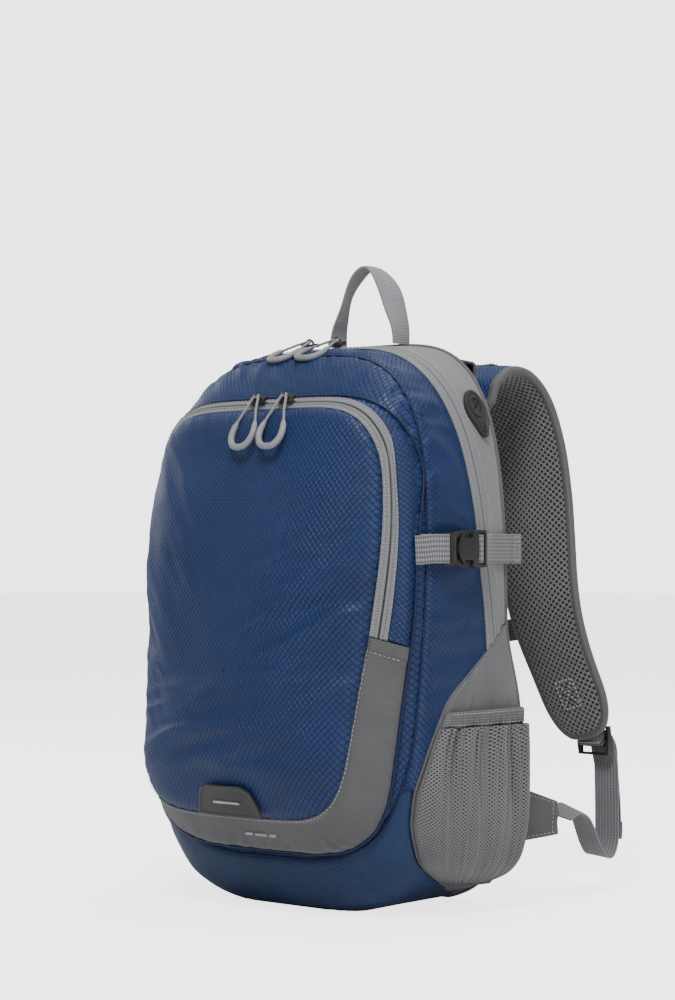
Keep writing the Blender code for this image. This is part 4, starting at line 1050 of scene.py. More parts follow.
def meshPockets():
    rows, cols = 120, 150
    low, high = wayAt(bodyLine, meshPocket["low"]), wayAt(bodyLine, meshPocket["high"])
    way = np.linspace(low, high, rows)[:, None]
    v = np.linspace(0, 1, cols)[None]
    height = bodyShape["widest"] + outlineAt(bodyLine, way)[1]
    points = pocketSpot(way, v, np.interp(height, *bulgeLine))
    uv = clothRun(points)

    def relief(spots, flat):
        top = smooth((spots[..., 2] - 0.045) / 0.11)
        lean = v + 0.10 * (1 - top) * (v - 0.45)
        wander = lean + 0.035 * bumps(
            np.stack([lean + 0 * top, top * 0.5, 0 * top], -1), (0.09, 0.5, 1), 51.0, 1
        )
        gather = np.abs(np.sin(np.pi * wander * 12.0)) ** 1.2
        broad = np.abs(np.sin(np.pi * (wander + 0.02) * 3.6)) ** 0.9
        edge = np.minimum(1, np.minimum(v, 1 - v) / 0.06)
        made = (gather - 0.5) * meshPocket["gather"] * (0.16 + 0.84 * top ** 1.2)
        made += (broad - 0.5) * 0.0075 * (0.25 + 0.75 * top) * smooth((spots[..., 2] - 0.03) / 0.02)
        return made * edge

    hemTop = wayAt(bodyLine, meshPocket["high"] + meshPocket["hemHeight"])
    hemWay = np.linspace(high + 0.0002, hemTop, 14)[:, None]
    hemV = np.linspace(0, 1, 150)[None]
    hem = pocketSpot(hemWay, hemV, np.full((14, 1), meshPocket["hemBulge"])) + [0.0012, 0, 0]
    across = np.linspace(0, 1, 14)[:, None]

    def hemRelief(spots, flat):
        ripple = 0.00055 * np.sin(2 * np.pi * flat[..., 1] / 0.0065 + 0.7 * np.sin(flat[..., 1] * 160))
        ends = smooth(np.minimum(hemV, 1 - hemV) / 0.05)
        return (
            0.0018 * np.sqrt(np.maximum(0, 1 - (2 * across - 1) ** 4)) + ripple * (1 - across * 0.6)
        ) * ends - 0.0008

    for sign, word in ((1, "Right"), (-1, "Left")):
        left = sign < 0
        panel(
            f"meshPocket{word}", points, pocketMesh,
            nodes=[f"mesh_pocket_{word.lower()}"], uv=uv, relief=relief, mirrored=left, thickness=0.0009
        )
        panel(
            f"pocketHem{word}", hem, elasticHem, nodes=[f"pocket_hem_{word.lower()}"], relief=hemRelief,
            mirrored=left, thickness=0.0022
        )
        normal = lift(hem, (0, 0, 0.24)) * [sign, 1, 1]
        for k in (2, 11):
            stitchRow("grey", (hem[k] * [sign, 1, 1] + normal[k] * 0.0022)[4:-4], normal[k][4:-4])
        rim = np.concatenate([points[::-1, -1], points[0, ::-1][1:]])
        rim = resampled(rim, 0.003)[0] * [sign, 1, 1]
        tube = sweep(f"pocketPiping{word}", rim, (0.3 * sign, 0.2, 1), roundSection(0.0015, 8), bindingTape)
        settle(tube, "pack")


meshPockets()
print("side pockets:", kit["count"], "pieces")


# front pocket

def zipShare(way):
    width = np.linalg.norm(pocketRim(way, np.ones_like(way)) - pocketRim(way, np.zeros_like(way)), axis=-1)
    return np.maximum(0.20, 1 - pocketShape["zipWidth"] / width)


def pocketZip():
    low = wayAt(footLine, pocketShape["zipEnd"] + 0.0004)
    way = np.linspace(low, 1 - low, 560)[:, None]
    start = zipShare(way) + 0.012
    v = np.linspace(0, 1, 27)[None]
    points = pocketRim(way, start + (0.999 - start) * v)

    def relief(spots, flat):
        width = np.abs(flat[:, -1, 1] - flat[:, 0, 1])[:, None]
        away = np.abs(v - 0.5) * width
        roll = 0.0013 * np.exp(-((away - 0.0022) / 0.0014) ** 2)
        return roll - 0.0009 * np.exp(-(away / 0.0006) ** 2) + 0.0004

    panel(
        "pocketZip", points, pocketZipTape, nodes=["pocket_zip"], middle=(0, 0.15, 0.2),
        relief=relief
    )
    normal = lift(points, (0, 0.15, 0.2))
    stitchRow("grey", points[6:-6, 2] + normal[6:-6, 2] * 0.0013, normal[6:-6, 2])
    stitchRow("grey", points[6:-6, -3] + normal[6:-6, -3] * 0.0013, normal[6:-6, -3])


def pocketGusset():
    low = wayAt(footLine, pocketShape["zipEnd"] + 0.0004)
    way = np.linspace(low, 1 - low, 420)[:, None]
    v = np.linspace(0, 1, 16)[None]
    points = pocketRim(way, (zipShare(way) - 0.005) * v)

    def relief(spots, flat):
        width = np.abs(flat[:, -1, 1] - flat[:, 0, 1])[:, None]
        pucker = 0.0005 * np.sin(2 * np.pi * flat[..., 0] / 0.012) * np.exp(-v * width / 0.008)
        return edgeDip(v * width, 0.0016, 0.003) + pucker

    panel(
        "pocketGusset", points, diamondRipstop, nodes=["pocket_gusset"],
        middle=(0, 0.15, 0.2), relief=relief
    )


def pocketFootShadow():
    # a thin dark tube round the pocket's foot: painted shadow where the pocket meets the front panel
    way = np.linspace(0, 1, 620)[:-1]
    foot = pocketRim(way, np.zeros_like(way))
    foot[:, 1] += 0.0018
    tube = sweep("pocketFootShadow", foot, (0, 1, 0), roundSection(0.0012, 8), seamShadow, closed=True)
    settle(tube, "pack")


def reachIn(way):
    up = outlineAt(footLine, way)[1]
    return 1 - 0.02 * smooth((pocketShape["zipEnd"] - pocketShape["middle"] - up) / pocketShape["zipEnd"])


def pocketBand():
    end = float(wayAt(footLine, pocketShape["zipEnd"] - 0.0004))
    rows, cols = 460, 44
    way = np.linspace(-end, end, rows)[:, None]
    v = np.linspace(0, 1, cols)[None]
    rim = pocketRim(way, np.broadcast_to(np.minimum(v / 0.70, 1.0), (rows, cols)))
    front = pocketFront(way, 1 + (reachIn(way) - 1) * np.maximum(0, (v - 0.70) / 0.30))
    points = np.where((v <= 0.70)[..., None], rim, front)
    for _ in range(3):
        points[:, 1:-1] = (points[:, :-2] + 2 * points[:, 1:-1] + points[:, 2:]) / 4

    def relief(spots, flat):
        width = np.abs(flat[:, -1, 1] - flat[:, 0, 1])[:, None]
        away = (1 - v) * width
        run = flat[..., 0] + 0.018 * bumps(spots, 0.04, 61.0, 2)
        patchy = 0.5 + 0.5 * bumps(spots, 0.05, 63.0, 1)
        gather = (
            np.abs(np.sin(np.pi * run / 0.019)) ** 1.5 - 0.4
        ) * 0.0013 * patchy * np.exp(-((v * width - 0.006) / 0.012) ** 2)
        tip = np.minimum(flat[..., 0] - flat[0, 0, 0], flat[-1, 0, 0] - flat[..., 0])
        hem = 0.0009 * smooth((0.010 - tip) / 0.0008)
        return 0.0006 * np.ones_like(away) + gather + hem + edgeDip(v * width, 0.0022, 0.003) + 0.0005 * bumps(spots, 0.03, 65.0)

    panel("pocketBand", points, greyWeave, nodes=["pocket_band"], middle=(0, 0.15, 0.2), relief=relief)
    normal = lift(points, (0, 0.15, 0.2))
    stitchRow("grey", points[3:-3, -4] + normal[3:-3, -4] * 0.0012, normal[3:-3, -4])
    for k in (10, rows - 11):
        stitchRow("grey", points[k, 6:-4] + normal[k, 6:-4] * 0.0020, normal[k, 6:-4])
    return points, normal


def pocketPanel():
    low = wayAt(footLine, pocketShape["zipEnd"])
    rows, cols = 720, 90
    way = np.linspace(0, 1, rows)[:, None]
    over = smooth((np.minimum(way, 1 - way) - low + 0.006) / 0.012)
    edge = (reachIn(way) + 0.006) + (1.0 - reachIn(way) - 0.006) * over
    v = 1 - (1 - np.linspace(0.0, 1, cols)[None]) ** 1.35
    points = pocketFront(way, edge * v)
    uv = points[..., [0, 2]].copy()

    def relief(spots, flat):
        x, z = spots[..., 0], spots[..., 2]
        away = np.linalg.norm(spots - spots[:, -1:], axis=-1)
        right = np.exp(-((x - 0.075) / 0.05) ** 2 - ((z - 0.235) / 0.075) ** 2)
        lower = np.exp(-((x + 0.01) / 0.11) ** 2 - ((z - 0.135) / 0.05) ** 2)
        left = np.exp(-((x + 0.10) / 0.05) ** 2 - ((z - 0.26) / 0.10) ** 2)
        made = 0.0070 * right * folds(spots, 24, 0.030, 0.11, 71.0)
        made += 0.0056 * lower * folds(spots, 14, 0.032, 0.13, 73.0)
        made += 0.0040 * left * folds(spots, -52, 0.026, 0.10, 77.0)
        made += 0.0012 * bumps(spots, (0.09, 0.2, 0.11), 79.0, 1)
        run = np.linspace(0, 1.06, rows)[:, None]
        pucker = 0.0006 * np.sin(
            2 * np.pi * run / 0.014 + 2 * bumps(spots, 0.05, 81.0, 1)
        ) * np.exp(-away / 0.009)
        # the cloth lies flat under the moulded tab
        tab = np.exp(-((x / 0.050) ** 4) - ((z - 0.096) / 0.026) ** 4)
        keep = smooth(away / 0.012) * (1 - tab)
        return made * keep + pucker * 0.6 + edgeDip(away, 0.0003, 0.0020)

    panel(
        "pocketPanel", points, diamondRipstop, nodes=["pocket_panel"], uv=uv,
        middle=(0, 0.15, 0.2), relief=relief
    )


pocketZip()
pocketGusset()
pocketFootShadow()
bandPoints, bandNormal = pocketBand()
pocketPanel()
print("front pocket:", kit["count"], "pieces")


def embroideredDashes():
    # a short row of plain raised dashes low on the grey band
    spot = np.argmin(np.abs(bandPoints[:, 24, 0] - 0.012))
    for k, (start, reach) in enumerate(((0, 7), (10, 12), (25, 6))):
        row = bandPoints[spot - 16 + start:spot - 16 + start + reach + 1, 17]
        normal = bandNormal[spot - 16 + start:spot - 16 + start + reach + 1, 17]
        if len(row) > 1:
            tube = sweep(
                f"embroideredDash{k + 1}", row + normal * 0.0016, (0, 0, 1), roundSection(0.0014, 8, 0.6),
                greyThread
            )
            settle(tube, "pack")


embroideredDashes()


# hard trim, modelled from primitives

def startBlock(name, low, high):
    bpy.ops.object.select_all(action="DESELECT")
    low, high = Vector(low), Vector(high)
    bpy.ops.mesh.primitive_cube_add(size=1, location=(low + high) / 2)
    obj = bpy.context.object
    obj.name = obj.data.name = name
    obj.scale = high - low
    bpy.ops.object.transform_apply(location=True, rotation=True, scale=True)
    return obj


def pickFaces(obj, test):
    mesh = obj.data
    mesh.vertices.foreach_set("select", [False] * len(mesh.vertices))
    mesh.edges.foreach_set("select", [False] * len(mesh.edges))
    for face in mesh.polygons:
        face.select = bool(test(face))
    bpy.ops.object.select_all(action="DESELECT")
    obj.select_set(True)
    bpy.context.view_layer.objects.active = obj
    bpy.context.tool_settings.mesh_select_mode = (False, False, True)


def insetFaces(obj, test, rim, depth):
    # a panel let into the picked faces, or raised where the depth is negative
    pickFaces(obj, test)
    bpy.ops.object.mode_set(mode="EDIT")
    bpy.ops.mesh.inset(thickness=rim, depth=0.0)
    bpy.ops.mesh.inset(thickness=rim * 0.35, depth=-depth)
    bpy.ops.object.mode_set(mode="OBJECT")


def bevelled(obj, width, segments=3):
    edge = obj.modifiers.new("Bevel", "BEVEL")
    edge.width, edge.segments, edge.limit_method, edge.angle_limit = width, segments, "ANGLE", math.radians(32)
    applied(obj)
    bpy.ops.object.select_all(action="DESELECT")
    obj.select_set(True)
    bpy.context.view_layer.objects.active = obj
    bpy.ops.object.shade_smooth_by_angle(angle=math.radians(35))
    obj.select_set(False)
    return obj


def carved(obj, cutters, operation="DIFFERENCE"):
    for k, cutter in enumerate(cutters):
        change = obj.modifiers.new(f"Cut{k}", "BOOLEAN")
        change.object, change.operation, change.solver = cutter, operation, "EXACT"
        applied(obj)
        bpy.data.objects.remove(cutter)
    return obj


def mirroredCopy(obj, name):
    mesh = obj.data.copy()
    mesh.transform(Matrix.Diagonal((-1, 1, 1, 1)))
    mesh.flip_normals()
    mesh.name = name
    copy = bpy.data.objects.new(name, mesh)
    bpy.context.scene.collection.objects.link(copy)
    return copy


def finishedHard(obj, finish):
    obj.data.materials.clear()
    obj.data.materials.append(finish)
    return obj


def shaped(obj, change):
    # moves the points of a mesh by a function of their place
    for vert in obj.data.vertices:
        vert.co = change(vert.co.copy())
    return obj


buckleShape = {"wall": 0.0016, "cuts": 9, "dome": 0.0013, "nose": 0.0045}


def diced(obj, cuts):
    # cuts every face into a grid, so that a shape can be bent
    pickFaces(obj, lambda f: True)
    bpy.ops.object.mode_set(mode="EDIT")
    bpy.ops.mesh.subdivide(number_cuts=cuts)
    bpy.ops.object.mode_set(mode="OBJECT")
    return obj


def sideBuckle():
    low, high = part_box("buckle_socket_right")
    tongueLow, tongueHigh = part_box("buckle_tongue_right")
    middle, length, half = (low + high) / 2, high.y - low.y, (high.z - low.z) / 2
    socket = diced(startBlock("buckleSocketRight", low, high), buckleShape["cuts"])

    def shield(p):
        # a rounded nose towards the tongue, a waist at the side windows and full width at the rear bar
        along, across = (p.y - low.y) / length, (p.z - middle.z) / half
        wide = np.interp(
            along, [0.0, 0.10, 0.25, 0.45, 0.62, 0.75, 1.0], [0.66, 0.80, 0.86, 0.86, 0.98, 1.0, 0.97]
        )
        crown = buckleShape["dome"] * math.sin(
            math.pi * min(1.0, max(0.0, along * 0.9 + 0.08))
        ) * (1 - across * across)
        y = p.y + buckleShape["nose"] * across * across * max(0.0, 1 - along / 0.35)
        return Vector((p.x + (crown if p.x > middle.x else 0.0), y, middle.z + (p.z - middle.z) * wide))

    shaped(socket, shield)
    wall = buckleShape["wall"]
    cuts = [
        startBlock(
            "cutMouth", (low.x + wall, low.y - 0.002, low.z + 0.0042),
            (high.x - wall, low.y + length * 0.58, high.z - 0.0042)
        )
    ]
    for sign in (1, -1):
        edge = middle.z + sign * half
        ends = sorted((edge - sign * 0.0062, edge + sign * 0.004))
        cuts.append(
            startBlock(
                "cutSide", (low.x - 0.002, low.y + length * 0.20, ends[0]),
                (high.x + 0.004, low.y + length * 0.50, ends[1])
            )
        )
    cuts.append(
        startBlock(
            "cutSlot", (low.x - 0.003, low.y + length * 0.70, low.z + 0.0026),
            (high.x + 0.004, low.y + length * 0.93, high.z - 0.0026)
        )
    )
    carved(socket, cuts)
    bar = startBlock(
        "bar", (low.x + 0.0006, low.y + length * 0.77, low.z + 0.0010),
        (high.x - 0.0022, low.y + length * 0.86, high.z - 0.0010)
    )
    carved(socket, [bar], "UNION")
    bevelled(socket, 0.0005, 2)
    for sign, word in ((1, "Right"), (-1, "Left")):
        # the tail's webbing folded over the rear bar
        wrap = smoothLine([
            (
                high.x - 0.0046, low.y + length * 0.725, middle.z
            ), (high.x - 0.0012, low.y + length * 0.735, middle.z),
            (
                high.x + 0.0004, low.y + length * 0.80, middle.z
            ), (high.x - 0.0006, low.y + length * 0.88, middle.z),
            (high.x - 0.0040, low.y + length * 0.905, middle.z),
        ], 6) * [sign, 1, 1]
        piece = sweep(f"tailFold{word}", wrap, (0, 0, 1), strapSection(0.0232, 0.0013, 10), ladderWebbing)
        settle(piece, "pack")

    tongue = startBlock(
        "buckleTongueRight", (tongueLow.x, tongueLow.y, tongueLow.z),
        (tongueHigh.x, low.y + 0.0002, tongueHigh.z)
    )
    insetFaces(tongue, lambda f: f.normal.x > 0.9, 0.0022, 0.0006)
    arms = []
    for sign in (1, -1):
        outer = tongueHigh.z if sign > 0 else tongueLow.z
        arm = startBlock(
            "arm", (tongueLow.x, low.y - 0.001, min(outer, outer - sign * 0.0050)),
            (tongueHigh.x, tongueHigh.y, max(outer, outer - sign * 0.0050))
        )
        diced(arm, 5)

        def bow(p, sign=sign):
            along = (p.y - low.y) / (tongueHigh.y - low.y)
            return Vector(
                (p.x, p.y, p.z + sign * (0.0018 * math.sin(math.pi * along) - 0.0016 * max(0, along - 0.6)))
            )

        shaped(arm, bow)
        arms.append(arm)
    arms.append(
        startBlock(
            "guide", (tongueLow.x, low.y - 0.001, middle.z - 0.0022),
            (tongueHigh.x, tongueHigh.y - 0.002, middle.z + 0.0022)
        )
    )
    carved(tongue, arms, "UNION")
    carved(
        tongue,
        [
            startBlock(
                "cutBar", (tongueLow.x - 0.003, tongueLow.y + 0.0034, tongueLow.z + 0.0024),
                (tongueHigh.x + 0.003, tongueLow.y + 0.0080, tongueHigh.z - 0.0024)
            )
        ]
    )
    bevelled(tongue, 0.0004, 2)
    for obj, node, body in ((socket, "buckle_socket", "pack"), (tongue, "buckle_tongue", "tongue")):
        finishedHard(obj, blackAcetal)
        left = mirroredCopy(obj, obj.name.replace("Right", "Left"))
        settle(obj, body if body == "pack" else "tongue_right", [f"{node}_right"])
        settle(left, body if body == "pack" else "tongue_left", [f"{node}_left"])


sideBuckle()
print("side buckles:", kit["count"], "pieces")


def onBody(node):
    # a frame on the body's side beside a node: its middle, the way out, the way back and the way up
    low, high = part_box(node)
    middle = (low + high) / 2
    height = middle.z
    way = float(wayAt(bodyLine, 0.408)) if node == "cable_port" else float(wayAt(bodyLine, height))
    grid = bodyAt(
        np.array([[way - 0.003], [way], [way + 0.003]]),
        np.array([[middle.y - 0.003, middle.y, middle.y + 0.003]])
    )
    out = Vector(lift(grid, (0, 0, 0.24))[1, 1])
    back = (Vector((0, 1, 0)) - out * out.y).normalized()
    return Vector(grid[1, 1]), out, back, back.cross(out) if back.cross(out).z > 0 else out.cross(back)


def cablePort():
    spot, out, back, up = onBody("cable_port")
    bpy.ops.object.select_all(action="DESELECT")
    bpy.ops.mesh.primitive_circle_add(vertices=72, radius=0.02, fill_type="NGON", location=(0, 0, 0))
    port = bpy.context.object
    port.name = "cablePort"

    def drop(p):
        # a teardrop, wide at the top and drawn in to a blunt foot towards the back
        turn = math.atan2(p.y, p.x)
        rise, sideways = math.sin(turn), math.cos(turn)
        wide = 0.0155 * (1 - 0.42 * smooth(np.array((0.2 - rise) / 1.2))) * sideways
        return Vector((wide + 0.0030 * max(0, -rise), 0.0215 * rise, 0.0))

    shaped(port, drop)
    pickFaces(port, lambda f: True)
    bpy.ops.object.mode_set(mode="EDIT")
    bpy.ops.mesh.extrude_region_move(TRANSFORM_OT_translate={"value": (0, 0, 0.0030)})
    bpy.ops.mesh.inset(thickness=0.0018, depth=0.0004)
    bpy.ops.mesh.inset(thickness=0.0012, depth=-0.0012)
    bpy.ops.mesh.inset(thickness=0.0020, depth=0.0007)
    bpy.ops.object.mode_set(mode="OBJECT")
    cuts = []
    for turn in (38, -52):
        cut = startBlock("cutSlit", (-0.0062, -0.00055, 0.0008), (0.0062, 0.00055, 0.006))
        cut.data.transform(
            Matrix.Translation((-0.0005, 0.0058, 0)) @ Matrix.Rotation(math.radians(turn), 4, "Z")
        )
        cuts.append(cut)
    carved(port, cuts)
    bevelled(port, 0.0003, 2)
    rings = []
    for where, radius, wire in (
        ((-0.0005, 0.0058, 0.0033), 0.0085, 0.0006), ((0.0028, -0.0135, 0.0031), 0.0030, 0.0006)
    ):
        bpy.ops.object.select_all(action="DESELECT")
        bpy.ops.mesh.primitive_torus_add(
            location=where, major_radius=radius, minor_radius=wire, major_segments=40, minor_segments=8
        )
        bpy.ops.object.transform_apply(location=True, rotation=True, scale=True)
        rings.append(bpy.context.object)
    bpy.ops.object.select_all(action="DESELECT")
    for ring in [*rings, port]:
        ring.select_set(True)
    bpy.context.view_layer.objects.active = port
    bpy.ops.object.join()
    port = bpy.context.object
    place = Matrix((back, up, out)).transposed().to_4x4()
    place.translation = spot + out * 0.0006
    if place.to_3x3().determinant() < 0:
        place = place @ Matrix.Diagonal((-1, 1, 1, 1))
    port.data.transform(place)
    work = bmesh.new()
    work.from_mesh(port.data)
    bmesh.ops.recalc_face_normals(work, faces=work.faces)
    work.to_mesh(port.data)
    work.free()
    bpy.ops.object.shade_smooth_by_angle(angle=math.radians(35))
    settle(finishedHard(port, blackRubber), "pack", ["cable_port"])


def reflectorTab():
    low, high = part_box("reflector_tab")
    middle = (low + high) / 2
    rise = pocketFront(np.zeros(400), np.linspace(0, 1, 400))
    here, above = (rise[np.argmin(np.abs(rise[:, 2] - z))] for z in (middle.z, middle.z + 0.0104))
    lean = math.atan2(here[1] - above[1], above[2] - here[2])
    tab = startBlock("reflectorTab", (-0.035, -0.0011, -0.0135), (0.035, 0.0011, 0.0145))
    diced(tab, 5)

    def trapezium(p):
        share = (p.z + 0.0135) / 0.028
        wide = 1 - 0.22 * share
        corner = max(0.0, abs(p.x) / 0.035 - 0.66) / 0.34
        lifted = p.z - 0.0055 * corner ** 2 * max(0.0, share) ** 2
        bow = 0.0014 * (p.x / 0.035) ** 2
        return Vector((p.x * wide, p.y + bow, lifted))

    shaped(tab, trapezium)
    insetFaces(tab, lambda f: f.normal.y < -0.8, 0.0022, 0.0005)
    bevelled(tab, 0.0006, 2)
    line = startBlock("reflectorLine", (-0.013, -0.0019, -0.0012), (0.015, -0.0004, 0.0006))
    bevelled(line, 0.0002, 1)
    # the tab leans as the pocket's front does, and stands just off the cloth
    place = Matrix.Translation(middle + Vector((0, -0.0016, 0))) @ Matrix.Rotation(lean, 4, "X")
    for obj, finish in ((tab, blackAcetal), (line, paleReflector)):
        obj.data.transform(place)
        finishedHard(obj, finish)
    settle(tab, "pack", ["reflector_tab"])
    settle(line, "pack")


cablePort()
reflectorTab()
print("port and tab:", kit["count"], "pieces")


# zip sliders and pulls

pullShape = {
    "cord": 0.0011, "grip": 0.0027,
    "outline": [
        (0.0, 0.0), (0.0024, 0.0006), (0.0036, 0.0040), (0.0058, 0.0130), (0.0098, 0.0250), (0.0118, 0.0350),
        (0.0104, 0.0425), (0.0062, 0.0478), (0.0, 0.0492),
    ],
}


def zipSlider(kind, word):
    node = f"{kind}_slider_{word}"
    low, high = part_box(node)
    middle = (low + high) / 2
    lean = {"main": 0.153, "pocket": 0.0}[kind]
    name = f"{kind}Slider{word.title()}"
    if kind == "main":
        frameUp, frameOut = Vector((0, 1, 0)), Vector((0, 0, 1))
    else:
        slope = pocketRim(
            np.array([0.5]), np.array([0.0])
        )[0] - pocketRim(np.array([0.5]), np.array([1.0]))[0]
        frameUp = Vector((0, slope[1], slope[2])).normalized()
        frameOut = Vector((0, -frameUp.z, frameUp.y))
        if frameOut.z < 0:
            frameOut = -frameOut
    if kind == "main":
        frameUp = Vector((0, math.cos(lean), math.sin(lean)))
        frameOut = Vector((0, -math.sin(lean), math.cos(lean)))
    body = startBlock(name, (-0.0078, -0.0056, -0.0010), (0.0078, 0.0056, 0.0019))
    diced(body, 5)

    def diamond(p):
        along = abs(p.x) / 0.0078
        return Vector((p.x, p.y * (1 - 0.40 * along ** 2), p.z + 0.0008 * (1 - (p.y / 0.0056) ** 2)))

    shaped(body, diamond)
    insetFaces(body, lambda f: f.normal.z > 0.8, 0.0006, 0.0003)
    bevelled(body, 0.0003, 2)
    bpy.ops.object.select_all(action="DESELECT")
    bpy.ops.mesh.primitive_torus_add(
        location=(0, 0, 0.0018), rotation=(math.pi / 2, 0, 0), major_radius=0.0042, minor_radius=0.0011,
        major_segments=28, minor_segments=8
    )
    bridge = bpy.context.object
    bpy.ops.object.transform_apply(location=True, rotation=True, scale=True)
    bpy.ops.object.select_all(action="DESELECT")
    bridge.select_set(True)
    body.select_set(True)
    bpy.context.view_layer.objects.active = body
    bpy.ops.object.join()
    place = Matrix((Vector((1, 0, 0)), frameUp, frameOut)).transposed().to_4x4()
    place.translation = Vector((middle.x, middle.y, middle.z)) - frameOut * 0.0024
    body.data.transform(place)
    work = bmesh.new()
    work.from_mesh(body.data)
    bmesh.ops.recalc_face_normals(work, faces=work.faces)
    work.to_mesh(body.data)
    work.free()
    settle(finishedHard(body, zincSlider), node, [node])


def zipPull(kind, word):
    node = f"{kind}_pull_{word}"
    joint = [j for j in frame["joints"] if j["child"] == node][0]
    top = Vector(joint["pos_m"])
    low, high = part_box(node)
    # the pull hangs from its joint's point down to the far end of its box
    foot = Vector((top.x, low.y + 0.0013, low.z + 0.0013))
    down = (foot - top).normalized()
    side = Vector((1, 0, 0))
    away = side.cross(down)
    if away.z < 0:
        away = -away
    reach = (foot - top).length / pullShape["outline"][-1][1] * 1.06
    half = [(w, a * reach) for w, a in pullShape["outline"]]
    outline = [*half, *((-w, a) for w, a in half[-2:0:-1])]
    twist = 0.10 if word == "left" else -0.14
    ring = []
    for w, a in outline:
        spot = top + down * a + side * w + away * (0.0006 * math.sin(a * 90) + twist * w * a * 8)
        ring.append(spot)
    closed = smoothLine([*ring, ring[0]], 10)
    cordLine = closed[:-1]
    cordPiece = sweep(
        f"{kind}PullCord{word.title()}", cordLine, tuple(away), roundSection(pullShape["cord"], 10),
        cordBraid, closed=True
    )
    settle(cordPiece, node, [node])
    start = [k for k, p in enumerate(cordLine) if (Vector(p) - top).dot(down) > 0.024 * reach]
    gripLine = cordLine[start[0]:start[-1] + 1]
    shares = np.linspace(0, 1, len(gripLine))
    fat = 0.86 + 0.14 * smooth(np.minimum(shares, 1 - shares) / 0.16)
    fat *= np.where(np.minimum(shares, 1 - shares) < 0.03, 0.72, 1.0)
    sections = roundSection(1.0, 14, 1.05)[None] * (pullShape["grip"] * fat)[:, None, None]
    grip = sweep(f"{kind}PullGrip{word.title()}", gripLine, tuple(away), sections, greyGrip)
    settle(grip, node)


for kindName in ("main", "pocket"):
    for wordName in ("left", "right"):
        zipSlider(kindName, wordName)
        zipPull(kindName, wordName)
print("zip hardware:", kit["count"], "pieces")


# webbing

webbing = {"width": 0.025, "thickness": 0.0018, "narrow": 0.020}


def webbingPiece(name, line, side, width, finish, body, nodes, thickness=None, step=0.0025):
    line, _ = resampled(line, step)
    side = np.array(side, float)
    if side.ndim == 2:
        grown = np.linspace(0, 1, len(side))
        side = np.stack([np.interp(np.linspace(0, 1, len(line)), grown, side[:, k]) for k in range(3)], 1)
    piece = sweep(name, line, side, strapSection(width, thickness or webbing["thickness"], 10), finish)
    return settle(piece, body, nodes), line


def compressionStraps():
    wall = 0.147
    low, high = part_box("buckle_tongue_right")
    x, z, barY = (low.x + high.x) / 2, (low.z + high.z) / 2, low.y
    socketLow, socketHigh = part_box("buckle_socket_right")
    tailLow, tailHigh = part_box("compression_tail_right")
    for sign, word in ((1, "Right"), (-1, "Left")):
        node = word.lower()
        front = smoothLine([
            (
                wall - 0.0036, -0.0420, z - 0.0012
            ), (wall + 0.0004, -0.0350, z - 0.0008), (wall + 0.0058, -0.0290, z),
            (x + 0.0014, barY - 0.0030, z), (x + 0.0026, barY + 0.0020, z), (x + 0.0012, barY + 0.0062, z),
            (x - 0.0016, barY + 0.0064, z), (x - 0.0028, barY + 0.0010, z), (x - 0.0030, barY - 0.0040, z),
            (wall + 0.0030, -0.0292, z), (wall - 0.0024, -0.0372, z),
        ], 8) * [sign, 1, 1]
        bend = ("pack", f"tongue_{node}", (sign * wall, -0.0400, z), (sign * x, barY - 0.0060, z))
        webbingPiece(
            f"compressionLoop{word}", front, (0, 0, 1), 0.0236, ladderWebbing, bend,
            [f"compression_loop_{node}"], 0.0014, 0.0012
        )
        end = socketHigh.y
        rear = smoothLine([
            (x - 0.0006, end - 0.0058, z), (x + 0.0016, end - 0.0020, z), (x + 0.0010, end + 0.0060, z), (
                wall + 0.0030, end + 0.0180, z
            ),
            (tailLow.x + 0.0032, 0.062, z), (tailLow.x + 0.0018, 0.078, z), (
                tailLow.x + 0.0012, tailHigh.y, z
            ),
        ], 8) * [sign, 1, 1]
        piece, line = webbingPiece(
            f"compressionTail{word}", rear, (0, 0, 1), webbing["width"], ribbedWebbing, "pack",
            [f"compression_tail_{node}"], 0.0016
        )
        fold = smoothLine([(p[0] + 0.0014 * sign, p[1], p[2]) for p in line[-6:]], 4)
        webbingPiece(
            f"tailHem{word}", fold, (0, 0, 1), webbing["width"], ribbedWebbing, "pack", [], 0.0014, 0.002
        )
        hemY = fold[0][1] + 0.002
        for shift in (0.0, 0.006):
            row = [
                (fold[0][0] + 0.0010 * sign, hemY + shift, z - 0.0105),
                (fold[0][0] + 0.0010 * sign, hemY + shift, z + 0.0105)
            ]
            stitchRow("grey", row, (sign, 0, 0))
        for edge in (-0.0105, 0.0105):
            row = [
                (fold[0][0] + 0.0010 * sign, hemY, z + edge),
                (fold[0][0] + 0.0010 * sign, hemY + 0.007, z + edge)
            ]
            stitchRow("grey", row, (sign, 0, 0))


